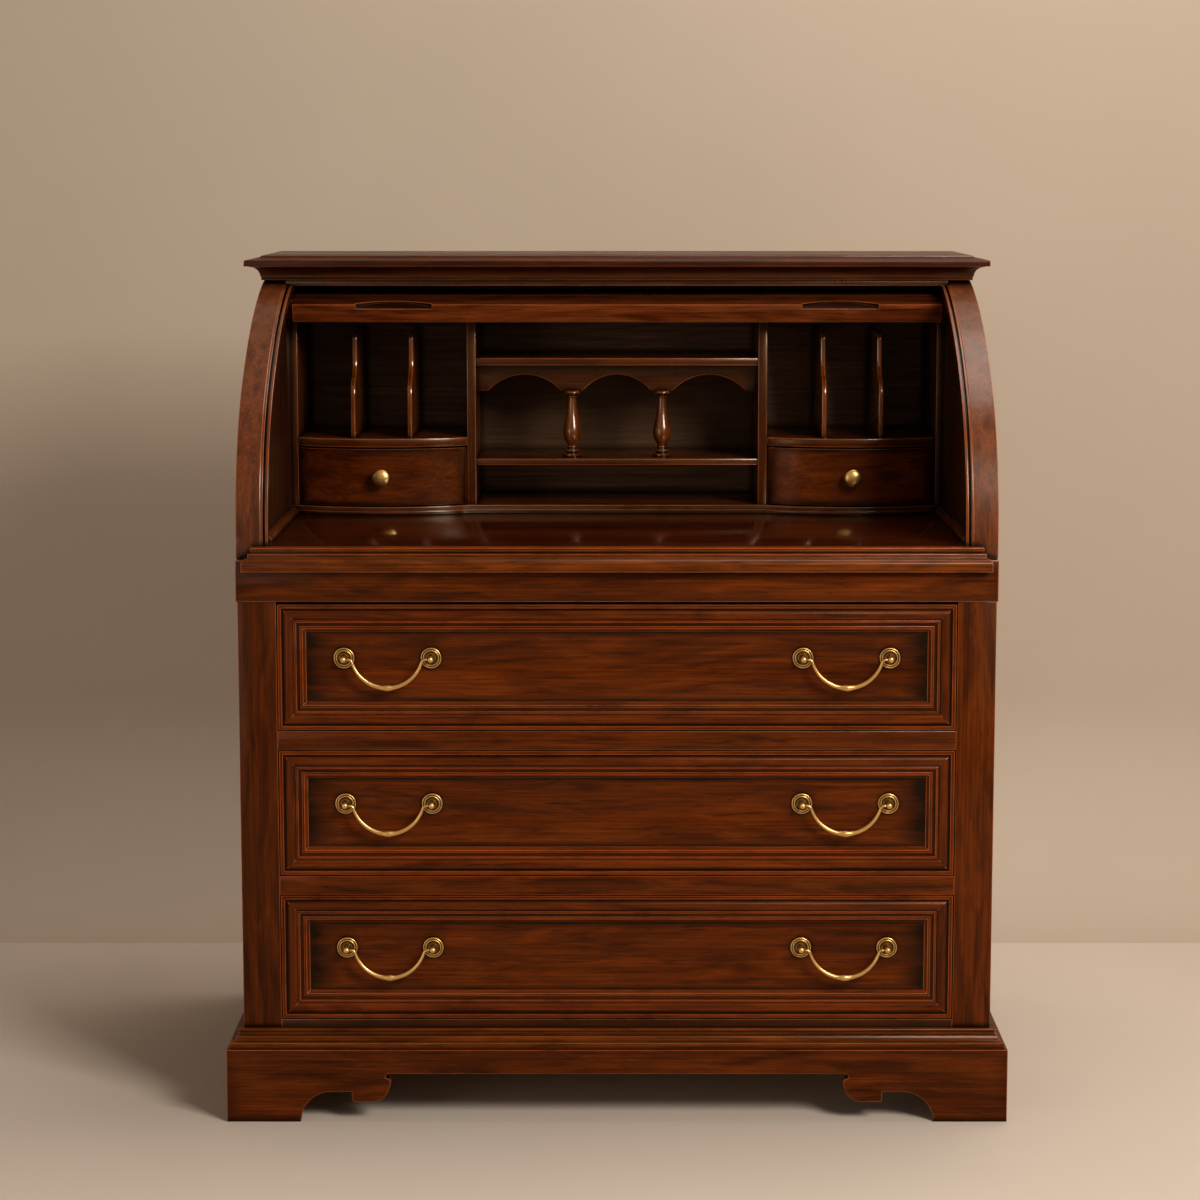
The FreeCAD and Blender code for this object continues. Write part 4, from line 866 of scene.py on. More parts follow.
    def ring_form(self, name: str, profile: list[tuple[float, float]], sides: int, crease: float = 40.0) -> Piece:
        """Turn a piece by extruding a circle step by step, upright on the origin.

        Args:
            name: New piece's name.
            profile: Radius and height of each ring, from the foot to the tip.
            sides: Sides of the circle.
            crease: Edges flatter than this, in degrees, are smooth.

        Returns:
            The new piece.
        """
        radius, height = profile[0]
        piece = self.disc(name, sides, radius, height)
        with self.editing(piece):
            for next_radius, next_height in profile[1:]:
                bpy.ops.mesh.extrude_region_move(TRANSFORM_OT_translate={"value": (0.0, 0.0, next_height - height)})
                factor = next_radius / radius
                if abs(factor - 1.0) > 1e-6:
                    bpy.ops.transform.resize(value=(factor, factor, 1.0), center_override=(0.0, 0.0, next_height))
                radius, height = next_radius, next_height
        self.seal(piece, crease)
        return piece

    @staticmethod
    def settle(piece: Piece) -> None:
        """Put a piece's place into its mesh."""
        piece.data.transform(piece.matrix_world)
        piece.matrix_world = Matrix.Identity(4)

    def place(self, piece: Piece, spot: Point, turn: Optional[Matrix] = None) -> None:
        """Move a piece's mesh to its spot.

        Args:
            piece: Piece to move.
            spot: Where its own origin goes.
            turn: Turn made before the move.
        """
        matrix = Matrix.Translation(Vector(spot)) @ (turn or Matrix.Identity(4))
        piece.data.transform(matrix)
        piece.data.update()

    def twin(self, piece: Piece, name: str, spot: Point, turn: Optional[Matrix] = None) -> Piece:
        """Copy a finished piece, with its own mesh, to another spot.

        Args:
            piece: Piece to copy.
            name: The copy's name.
            spot: Where its own origin goes.
            turn: Turn made before the move.

        Returns:
            The copy.
        """
        other = bpy.data.objects.new(name, piece.data.copy())
        other.data.name = name
        bpy.context.scene.collection.objects.link(other)
        self.place(other, spot, turn)
        return other

    def finish(self, piece: Piece, material: bpy.types.Material, body: str, slot: str,
               *nodes: str) -> None:
        """Dress a piece and tie it to its body.

        Args:
            piece: Finished piece.
            material: Its material.
            body: Body that it rides on.
            slot: The record's material slot; not used.
            nodes: CAD nodes that it stands for.
        """
        piece.data.materials.clear()
        piece.data.materials.append(material)
        if nodes:
            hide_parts(*nodes)
        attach(piece, body)
        log.info("%s: %d faces on %s", piece.name, len(piece.data.polygons), body)


@dataclass
class Board:
    """One wooden CAD node and how it is dressed.

    Attributes:
        node: CAD node's name.
        grain: Way of its fibres.
        arris: Width of its rounded edges, in metres.
        finish: Key of its finish.
        shared: Whether all its boards are cut from one plank.
    """

    node: str
    grain: Grain
    arris: float = 0.0009
    finish: str = "case"
    shared: bool = False


class BoardWork:
    """Sub-assembly of boards that keep the shape of their CAD nodes."""

    boards: list[Board] = []
    body: str = "case"

    RIM_REACH: ClassVar[Point] = (0.022, 0.012, 0.012)
    RIM_SHARE: ClassVar[float] = 0.2
    RIM_LEAST: ClassVar[float] = 0.0005

    def __init__(self, bench: Bench, finishes: dict[str, bpy.types.Material]) -> None:
        """Keep the bench and the finishes.

        Args:
            bench: Where the pieces are worked.
            finishes: Materials by key.
        """
        self.bench = bench
        self.finishes = finishes

    @staticmethod
    def slot_of(node: str) -> str:
        """Find a node's material slot in the record."""
        for part in frame["record"]["subparts"]:
            if part["node"] == node:
                return part["material_slot"]
        return "case_wood"

    def rule(self, board: Board) -> Callable[[Vector], Grain]:
        """Give the fibre rule of one board."""
        return lambda middle: board.grain

    @staticmethod
    def mitred(node: str, reach: float = math.inf) -> Callable[[Vector], Grain]:
        """Give the fibre rule of a moulding that is mitred at its front corners.

        Args:
            node: CAD node's name.
            reach: Width of its side lengths, in metres.

        Returns:
            Fibre direction for a face's middle.
        """
        low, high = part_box(node)

        def choose(middle: Vector) -> Grain:
            """Compare the distances to the side and to the front."""
            side, front = high[0] - abs(middle.x), middle.y - low[1]
            return Grain.DEEP if side < front and side < reach else Grain.ACROSS
        return choose

    def shape(self, board: Board, piece: Piece) -> None:
        """Add detail to a board before its edges are rounded."""

    def tint(self, board: Board, piece: Piece) -> None:
        """Paint shade towards the ends of a board.

        Args:
            board: The board.
            piece: Its piece.
        """
        low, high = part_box(board.node)
        reach = tuple(max(self.RIM_LEAST, min(most, (end - start) * self.RIM_SHARE))
                      for most, start, end in zip(self.RIM_REACH, low, high))
        self.bench.mark_rims(piece, [(lambda middle: True, low, high, reach)])

    def build(self) -> None:
        """Make every board of the sub-assembly."""
        for board in self.boards:
            piece = self.bench.copy_node(board.node, board.node + "_dressed")
            self.shape(board, piece)
            self.bench.soften(piece, board.arris)
            self.bench.lay_grain(piece, self.rule(board), board.shared)
            self.tint(board, piece)
            self.bench.finish(piece, self.finishes[board.finish], self.body, self.slot_of(board.node), board.node)


class BracketBase(BoardWork):
    """Bracket feet, their blocks and the moulding above them."""

    boards = [
        Board("base_front", Grain.ACROSS, 0.0012),
        Board("base_side_left", Grain.DEEP, 0.0012),
        Board("base_side_right", Grain.DEEP, 0.0012),
        Board("base_back", Grain.ACROSS, 0.0006, "inner"),
        Board("base_moulding", Grain.ACROSS, 0.0003, "moulding"),
    ]

    def rule(self, board: Board) -> Callable[[Vector], Grain]:
        """Run the fibres of the moulding's side lengths from front to back."""
        return self.mitred(board.node) if board.node == "base_moulding" else super().rule(board)


class LowerCase(BoardWork):
    """Chest of the long drawers, frieze and writing surface."""

    boards = [
        Board("case_side_left", Grain.UPRIGHT),
        Board("case_side_right", Grain.UPRIGHT),
        Board("case_stiles", Grain.UPRIGHT, 0.0008),
        Board("case_back", Grain.UPRIGHT, 0.0004, "inner"),
        Board("case_bottom", Grain.ACROSS, 0.0005, "inner"),
        Board("case_top", Grain.ACROSS, 0.0005, "inner"),
        Board("drawer_rails", Grain.ACROSS, 0.0007),
        Board("drawer_runners", Grain.DEEP, 0.0008, "inner"),
        Board("frieze_front", Grain.ACROSS, 0.001),
        Board("frieze_sides", Grain.DEEP, 0.001),
        Board("waist_moulding", Grain.ACROSS, 0.0003, "moulding"),
        Board("writing_surface", Grain.ACROSS, 0.0005, "surface"),
        Board("surface_mouldings", Grain.DEEP, 0.0005, "gallery"),
    ]

    LEFT_STILE_STAIN: ClassVar[float] = 0.28
    LOW_RAIL_SHADE: ClassVar[float] = 0.55
    RAIL_HEIGHT: ClassVar[float] = 0.03

    def tint(self, board: Board, piece: Piece) -> None:
        """Darken the left stile, and paint shade on the lowest rail, under the drawer above it.

        Args:
            board: The board.
            piece: Its piece.
        """
        if board.node == "case_stiles":
            self.bench.shade_and_stain(piece, lambda middle, way: self.LEFT_STILE_STAIN if middle.x < 0.0 else 0.0)
        elif board.node == "drawer_rails":
            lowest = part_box(board.node)[0][2] + self.RAIL_HEIGHT
            self.bench.shade_and_stain(piece, lambda middle, way: self.LOW_RAIL_SHADE if middle.z < lowest else 0.0)
        else:
            super().tint(board, piece)


class UpperCase(BoardWork):
    """Curved sides, cornice and back."""

    boards = [
        Board("upper_side_left", Grain.UPRIGHT, 0.0009, "sides"),
        Board("upper_side_right", Grain.UPRIGHT, 0.0009, "sides"),
        Board("side_beads", Grain.UPRIGHT, 0.0006, "sides"),
        Board("upper_back", Grain.UPRIGHT, 0.0004, "inner"),
        Board("cornice_cove", Grain.ACROSS, 0.0003, "cove"),
        Board("cornice_top", Grain.ACROSS, 0.0005, "cornice"),
        Board("top_rail", Grain.ACROSS, 0.0006, "gallery"),
    ]

    CORNICE_WIDTH: ClassVar[float] = 0.024
    INNER_SHADE: ClassVar[float] = 0.85

    def rule(self, board: Board) -> Callable[[Vector], Grain]:
        """Run the fibres of the cornice's side lengths from front to back."""
        return self.mitred(board.node, self.CORNICE_WIDTH) if board.node.startswith("cornice") else super().rule(board)

    def tint(self, board: Board, piece: Piece) -> None:
        """Leave the faces towards the gallery darker than the rest, as painted shade."""
        if board.node.startswith(("upper_side", "side_beads")):
            self.bench.shade_and_stain(piece, lambda middle, way: self.INNER_SHADE if way.x * middle.x < -0.0003 else 0.0)


@dataclass
class ColumnSizes:
    """Shape of a colonnette.

    Attributes:
        widest: Largest radius, in metres.
        shape_shares: Radius as a share of the widest, and height as a share of the column's.
    """

    widest: float = 0.0132
    shape_shares: tuple[tuple[float, float], ...] = (
        (0.86, 0.0), (0.96, 0.008), (1.00, 0.025), (0.98, 0.045), (0.86, 0.058), (0.64, 0.062), (0.58, 0.070),
        (0.64, 0.078), (0.76, 0.086), (0.80, 0.100), (0.76, 0.114), (0.62, 0.120), (0.50, 0.124), (0.47, 0.134),
        (0.54, 0.140), (0.58, 0.150), (0.58, 0.160), (0.54, 0.170), (0.48, 0.176), (0.50, 0.190), (0.60, 0.212),
        (0.74, 0.240), (0.86, 0.274), (0.94, 0.310), (0.98, 0.345), (0.99, 0.380), (0.96, 0.420), (0.89, 0.470),
        (0.80, 0.525), (0.70, 0.590), (0.61, 0.660), (0.54, 0.735), (0.49, 0.810), (0.46, 0.875), (0.46, 0.892),
        (0.54, 0.897), (0.58, 0.905), (0.58, 0.915), (0.54, 0.923), (0.50, 0.928), (0.52, 0.936), (0.66, 0.944),
        (0.84, 0.950), (0.94, 0.958), (0.97, 0.970), (0.94, 0.982), (0.84, 0.992), (0.78, 1.0),
    )


class Gallery(BoardWork):
    """Pigeonholes, shelves and arches."""

    boards = [
        Board("gallery_sides", Grain.UPRIGHT, 0.0007, "gallery"),
        Board("gallery_partitions", Grain.UPRIGHT, 0.0009, "gallery"),
        Board("gallery_back", Grain.ACROSS, 0.0004, "back"),
        Board("gallery_top", Grain.ACROSS, 0.0004, "gallery"),
        Board("gallery_base", Grain.ACROSS, 0.0012, "gallery"),
        Board("gallery_shelf_high", Grain.ACROSS, 0.0012, "gallery"),
        Board("gallery_shelf_low", Grain.ACROSS, 0.0012, "gallery"),
        Board("arch_valance", Grain.ACROSS, 0.0006, "gallery"),
        Board("bow_shelves", Grain.ACROSS, 0.0016, "gallery"),
        Board("gallery_dividers", Grain.UPRIGHT, 0.0022, "turned"),
    ]

    BEAD_GROOVE: ClassVar[Point] = (0.0056, 0.0072, 0.0016)
    ARCH_SHADE: ClassVar[float] = 0.45
    BACK_SHADE: ClassVar[float] = 0.79

    @staticmethod
    def _behind_arches() -> tuple[float, float, float, float]:
        """Find the left, right, lower and upper edge of the back's field behind the arches."""
        low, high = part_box("arch_valance")
        return low[0], high[0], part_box("gallery_shelf_low")[1][2], high[2]

    def tint(self, board: Board, piece: Piece) -> None:
        """Darken the arches, and the back behind them, with painted shade.

        Args:
            board: The board.
            piece: Its piece.
        """
        super().tint(board, piece)
        if board.node == "arch_valance":
            self.bench.shade_and_stain(piece, lambda middle, way: self.ARCH_SHADE)
        if board.node == "gallery_back":
            left, right, floor, top = self._behind_arches()
            self.bench.shade_and_stain(piece, lambda middle, way: self.BACK_SHADE * (
                left < middle.x < right and floor < middle.z < top))

    def shape(self, board: Board, piece: Piece) -> None:
        """Part the base board's edge into two beads, and the back into fields.

        Args:
            board: The board.
            piece: Its piece.
        """
        if board.node == "gallery_base":
            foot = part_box(board.node)[0][2]
            start, end, depth = self.BEAD_GROOVE
            self.bench.groove(piece, foot + start, foot + end, depth)
        if board.node == "gallery_back":
            left, right, floor, top = self._behind_arches()
            self.bench.split(piece, [*[((x, 0.0, 0.0), ACROSS_DESK) for x in (left, right)],
                                     *[((0.0, 0.0, z), UPWARDS) for z in (floor, top)]])

    def build(self) -> None:
        """Make the boards, then turn the two colonnettes."""
        super().build()
        low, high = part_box("colonnettes")
        tall = high[2] - low[2]
        sizes = ColumnSizes()
        profile = [(radius * sizes.widest, height * tall) for radius, height in sizes.shape_shares]
        pattern = self.bench.ring_form("column_pattern", profile, 40, 34.0)
        half = (high[1] - low[1]) / 2.0
        for side, label in ((-1.0, "left"), (1.0, "right")):
            spot = (side * (high[0] - half), low[1] + half, low[2])
            column = self.bench.twin(pattern, "column_" + label, spot)
            self.bench.note(column, "edge", "FLOAT", np.zeros(len(column.data.loops), dtype=np.float32))
            self.bench.lay_grain(column, lambda middle: Grain.UPRIGHT)
            self.bench.finish(column, self.finishes["turned"], self.body, "gallery_wood", "colonnettes")
        bpy.data.objects.remove(pattern)


class CoverLead(BoardWork):
    """Front leaf of the roll cover with its lead rail."""

    body = "cover_front"
    boards = [
        Board("lead_rail", Grain.ACROSS, 0.0009, "rail"),
        Board("cover_front_leaf", Grain.ACROSS, 0.0007, "gallery"),
    ]

    PULL_MIDDLE: ClassVar[float] = 0.313
    PULL_HALF: ClassVar[float] = 0.056
    PULL_RADII: ClassVar[tuple[float, float]] = (0.4027, 0.4097)
    PULL_BACK: ClassVar[float] = 0.062
    PULL_SHADE: ClassVar[float] = 0.93
    OUTER_RADIUS: ClassVar[float] = 0.4095
    OUTER_DARKENING: ClassVar[float] = 0.55

    def tint(self, board: Board, piece: Piece) -> None:
        """Darken the outside of the cover, and paint shade into the finger pulls, darker still.

        Args:
            board: The board; not used.
            piece: Its piece.
        """
        axis = next(joint["pos_m"] for joint in frame["joints"] if joint["name"] == "cover_roll")

        def depth(middle: Vector, way: Vector) -> float:
            """Tell the pulls from the outside by how far a face lies below it.

            Args:
                middle: The face's middle.
                way: Its normal.

            Returns:
                How dark the face is made.
            """
            out = Vector((0.0, middle.y - axis[1], middle.z - axis[2]))
            hollow = self.PULL_RADII[0] < out.length < self.PULL_RADII[1] and middle.y < self.PULL_BACK
            if hollow and abs(abs(middle.x) - self.PULL_MIDDLE) < self.PULL_HALF:
                return self.PULL_SHADE
            return self.OUTER_DARKENING if out.length > self.OUTER_RADIUS and way.dot(out.normalized()) > 0.9 else 0.0
        self.bench.shade_and_stain(piece, depth)


class CoverTail(BoardWork):
    """Rear leaf of the roll cover."""

    body = "cover_rear"
    boards = [Board("cover_rear_leaf", Grain.ACROSS, 0.0007, "gallery")]


@dataclass
class PullSizes:
    """Sizes of a bail pull, in metres.

    Attributes:
        spacing: From post to post.
        reach: From the drawer's panel to the bail's axis.
        plate: Radius of the rosette.
        plate_shares: Radius and height of the rosette's and neck's rings, as shares of the plate.
        ball: Radius of the post's ball.
        wire: Radius of the bail at its ends.
        heart: Radius of the bail near its middle.
        knot: Further swelling at the very middle.
        knot_width: How far that swelling spreads.
        pin: Radius of the pins in the posts.
        drop: From the axis down to the middle of the bail.
        arc: Radius of the bail's bow.
        elbow: Radius of the turn at each end.
    """

    spacing: float = 0.1142
    reach: float = 0.018
    plate: float = 0.014
    plate_shares: tuple[tuple[float, float], ...] = (
        (0.97, 0.0), (1.0, 0.03), (1.0, 0.11), (0.985, 0.17), (0.95, 0.22), (0.90, 0.235), (0.855, 0.22),
        (0.825, 0.18), (0.81, 0.155), (0.795, 0.18), (0.775, 0.235), (0.73, 0.265), (0.68, 0.26), (0.63, 0.225),
        (0.58, 0.165), (0.53, 0.105), (0.46, 0.070), (0.36, 0.065), (0.29, 0.12), (0.25, 0.30), (0.235, 0.62),
        (0.245, 0.76), (0.285, 0.82), (0.285, 0.87), (0.255, 0.91),
    )
    ball: float = 0.0049
    wire: float = 0.0018
    heart: float = 0.0035
    knot: float = 0.0013
    knot_width: float = 0.0055
    pin: float = 0.00158
    drop: float = 0.0374
    arc: float = 0.0474
    elbow: float = 0.005


class PullMaker:
    """Turned rosette posts and swinging bails."""

    def __init__(self, bench: Bench, sizes: PullSizes, brass: bpy.types.Material) -> None:
        """Model one post and one bail.

        Args:
            bench: Where the pieces are worked.
            sizes: The pull's sizes.
            brass: The brass finish.
        """
        self.bench = bench
        self.sizes = sizes
        self.brass = brass
        self.post = self._post()
        self.bail = self._bail()

    def _post(self) -> Piece:
        """Turn the rosette, the neck and the ball in one piece.

        Returns:
            The post, upright on the origin.
        """
        size = self.sizes
        profile = [(size.plate * radius, size.plate * height) for radius, height in size.plate_shares]
        for step in range(13):
            angle = math.radians(-44.0 + (44.0 + 84.0) * step / 12.0)
            profile.append((size.ball * math.cos(angle), size.reach + size.ball * math.sin(angle)))
        return self.bench.ring_form("pull_post_pattern", profile, 40)

    def _bail_path(self) -> list[tuple[float, float]]:
        """Trace the bail: a pin, an elbow, the bow, and the same on the other side.

        Returns:
            Places across and up, from the bail's axis.
        """
        size = self.sizes
        centre = size.arc - size.drop
        turn = math.acos((centre + size.elbow) / (size.arc + size.elbow))
        straight = (size.arc + size.elbow) * math.sin(turn)
        pin_end = size.spacing / 2.0 - 0.0012
        path = [(x, 0.0) for x in (-pin_end, -pin_end + 0.0022, -pin_end + 0.0036, -pin_end + 0.0042,
                                   -straight - 0.0004)]
        for step in range(1, 8):
            angle = turn * step / 7.0
            path.append((-straight + size.elbow * math.sin(angle), -size.elbow + size.elbow * math.cos(angle)))
        ends = [(-x, z) for x, z in reversed(path)]
        for step in range(1, 44):
            angle = -turn + 2.0 * turn * step / 44.0
            path.append((size.arc * math.sin(angle), centre - size.arc * math.cos(angle)))
        return path + ends

    def _bail_radii(self, path: list[tuple[float, float]]) -> list[float]:
        """Swell the bail towards its heart.

        Args:
            path: Places along the bail.

        Returns:
            The bail's radius at each place.
        """
        size = self.sizes
        lengths = [0.0]
        for first, second in zip(path, path[1:]):
            lengths.append(lengths[-1] + math.dist(first, second))
        total = lengths[-1]
        radii: list[float] = []
        for index, length in enumerate(lengths):
            share = abs(length / total - 0.5) * 2.0
            radius = size.heart + (size.wire - size.heart) * min(1.0, share * 1.12) ** 1.4
            radius += size.knot * math.exp(-((length - total / 2.0) / size.knot_width) ** 2)
            radii.append(size.pin if index < 3 or index > len(path) - 4 else radius)
        return radii

    def _bail(self) -> Piece:
        """Sweep the bail from one pin to the other.

        Returns:
            The bail, hanging from the origin, in the upright plane across the desk.
        """
        path = self._bail_path()
        radii = self._bail_radii(path)
        bail = self.bench.disc("bail_pattern", 20, radii[0])
        with self.bench.editing(bail) as form:
            form.verts.ensure_lookup_table()
            ring = [vert.co.copy() / radii[0] for vert in form.verts]
            for index, ((x, z), radius) in enumerate(zip(path, radii)):
                before = Vector((*path[max(index - 1, 0)], 0.0))
                after = Vector((*path[min(index + 1, len(path) - 1)], 0.0))
                way = (after - before).normalized()
                if index > 0:
                    bpy.ops.mesh.extrude_region_move(TRANSFORM_OT_translate={"value": (0.0, 0.0, 0.0)})
                    form = bmesh.from_edit_mesh(bail.data)
                chosen = [vert for vert in form.verts if vert.select]
                for vert, unit in zip(chosen, ring):
                    across = unit.x * radius
                    vert.co = Vector((x - way.y * across, unit.y * radius, z + way.x * across))
                bmesh.update_edit_mesh(bail.data)
        self.bench.seal(bail, 40.0)
        return bail

    def fit(self, drawer: str) -> None:
        """Put four posts and two bails on a drawer.

        Args:
            drawer: The drawer's body name.
        """
        low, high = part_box(drawer + "_pull_posts")
        height = (low[2] + high[2]) / 2.0
        plate = high[1]
        outer = high[0] - self.sizes.plate
        facing = Matrix.Rotation(math.pi / 2.0, 4, "X")
        posts = []
        for side in (-1.0, 1.0):
            for x in (outer, outer - self.sizes.spacing):
                name = f"{drawer}_post_{len(posts) + 1}"
                posts.append(self.bench.twin(self.post, name, (side * x, plate, height), facing))
        self.bench.clear()
        for post in posts:
            post.select_set(True)
        bpy.context.view_layer.objects.active = posts[0]
        bpy.ops.object.join()
        posts[0].name = drawer + "_posts_dressed"
        self.bench.finish(posts[0], self.brass, drawer, "brass", drawer + "_pull_posts")
        for side, label in ((-1.0, "left"), (1.0, "right")):
            node = f"{drawer}_bail_{label}"
            middle = side * (outer - self.sizes.spacing / 2.0)
            bail = self.bench.twin(self.bail, node + "_dressed", (middle, plate - self.sizes.reach, height))
            self.bench.finish(bail, self.brass, node, "brass", node)

    def put_away(self) -> None:
        """Remove the two patterns."""
        for pattern in (self.post, self.bail):
            bpy.data.objects.remove(pattern)


class LongDrawer(BoardWork):
    """One long drawer with its moulded front."""

    MOULDING_WIDTH: ClassVar[float] = 0.0363
    MOULDING_DEPTH: ClassVar[float] = 0.0088
    PANEL_DEPTH: ClassVar[float] = 0.012
    PANEL_SHADE_REACH: ClassVar[Point] = (0.058, 1.0, 0.011)
    UPRIGHT_SHADE: ClassVar[float] = 0.36
    UPPER_SHADE: ClassVar[float] = 0.26

    def __init__(self, bench: Bench, finishes: dict[str, bpy.types.Material], name: str) -> None:
        """Keep the drawer's name.

        Args:
            bench: Where the pieces are worked.
            finishes: Materials by key.
            name: The drawer's body name.
        """
        super().__init__(bench, finishes)
        self.name = name
        self.body = name

    def build(self) -> None:
        """Make the front with its mitred moulding, and the box."""
        low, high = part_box(self.name + "_front")
        width = self.MOULDING_WIDTH

        def distances(spot: Vector) -> tuple[float, float]:
            """Measure how far a point is from the side edge and from the top or bottom edge."""
            return min(spot.x - low[0], high[0] - spot.x), min(spot.z - low[2], high[2] - spot.z)

        def on_mitre(spot: Vector) -> bool:
            """Tell whether a point lies on a mitre line or on the moulding's inner edge."""
            side, end = distances(spot)
            return abs(side - end) < 0.00005 and side < width + 0.0001

        def choose(middle: Vector) -> Grain:
            """Run the fibres along each length of moulding, and along the panel.

            Args:
                middle: A face's middle.

            Returns:
                The fibres' way.
            """
            side, end = distances(middle)
            face = middle.y < low[1] + self.MOULDING_DEPTH
            return Grain.UPRIGHT if face and side < width and side < end else Grain.ACROSS

        def moulding_shade(middle: Vector) -> float:
            """Paint shade on all but the lowest length of moulding, most on the upright lengths; the lowest length
            keeps the finish's lighter colour as painted light.

            Args:
                middle: A face's middle.

            Returns:
                How dark the face is made.
            """
            side, end = distances(middle)
            if middle.z < low[2] + min(width, side):
                return 0.0
            return self.UPRIGHT_SHADE if side < min(width, end) else self.UPPER_SHADE

        def on_panel(middle: Vector) -> bool:
            """Tell whether a face belongs to the panel inside the moulding."""
            return min(distances(middle)) > width and middle.y < low[1] + self.PANEL_DEPTH

        front = self.bench.copy_node(self.name + "_front", self.name + "_front_dressed", on_mitre)
        self.bench.soften(front, 0.00035, 30.0)
        self.bench.lay_grain(front, choose)
        inset = Vector((width, 0.0, width))
        # Painted shade on the panel, thickest beside the moulding.
        self.bench.mark_rims(front, [(on_panel, low + inset, high - inset, self.PANEL_SHADE_REACH)])
        self.bench.shade_and_stain(front, lambda middle, way: moulding_shade(middle))
        self.bench.finish(front, self.finishes["drawer"], self.body, "drawer_wood", self.name + "_front")
        box = self.bench.copy_node(self.name + "_box", self.name + "_box_dressed")
        self.bench.soften(box, 0.0008)
        self.bench.lay_grain(box, lambda middle: Grain.ACROSS if abs(middle.x) < high[0] * 0.97 else Grain.DEEP)
        self.bench.finish(box, self.finishes["inner"], self.body, "inner_wood", self.name + "_box")


@dataclass
class KnobSizes:
    """Sizes of a small drawer's knob.

    Attributes:
        radius: Largest radius, in metres.
        height: From the drawer to the tip, in metres.
        shape_shares: Radius and height of the rings below the tip, as shares of the radius.
    """

    radius: float = 0.0132
    height: float = 0.023
    shape_shares: tuple[tuple[float, float], ...] = (
        (0.64, 0.0), (0.66, 0.05), (0.66, 0.14), (0.60, 0.20), (0.46, 0.24), (0.38, 0.34), (0.35, 0.50),
        (0.38, 0.62), (0.52, 0.72), (0.74, 0.84), (0.90, 0.98), (0.985, 1.12), (1.0, 1.22), (0.985, 1.32),
    )


class SmallDrawer(BoardWork):
    """One small bowed drawer with a brass knob."""

    def __init__(self, bench: Bench, finishes: dict[str, bpy.types.Material], side: str) -> None:
        """Keep the side that the drawer is on.

        Args:
            bench: Where the pieces are worked.
            finishes: Materials by key.
            side: left or right.
        """
        super().__init__(bench, finishes)
        self.name = "small_drawer_" + side
        self.body = self.name
        self.boards = [
            Board(self.name + "_front", Grain.ACROSS, 0.0009, "drawer"),
            Board(self.name + "_box", Grain.DEEP, 0.0005, "inner"),
        ]
        self.sizes = KnobSizes()

    def tint(self, board: Board, piece: Piece) -> None:
        """Darken the front with painted shade, the left one more, towards the tone of the long drawers' panels.

        Args:
            board: The board.
            piece: Its piece.
        """
        super().tint(board, piece)
        if board.node.endswith("_front"):
            tone = 0.36 if self.name.endswith("left") else 0.12
            self.bench.shade_and_stain(piece, lambda middle, way: tone)

    def build(self) -> None:
        """Make the boards and turn the knob."""
        super().build()
        radius = self.sizes.radius
        profile = [(radius * wide, radius * high) for wide, high in self.sizes.shape_shares]
        brim, start = profile[-1]
        for step in range(1, 12):
            angle = math.radians(90.0 * step / 11.5)
            profile.append((brim * math.cos(angle), start + (self.sizes.height - start) * math.sin(angle)))
        knob = self.bench.ring_form(self.name + "_knob_dressed", profile, 48)
        low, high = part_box(self.name + "_knob")
        middle = ((low[0] + high[0]) / 2.0, high[1], (low[2] + high[2]) / 2.0)
        self.bench.place(knob, middle, Matrix.Rotation(math.pi / 2.0, 4, "X"))
        self.bench.finish(knob, self.finishes["brass"], self.body, "brass", self.name + "_knob")


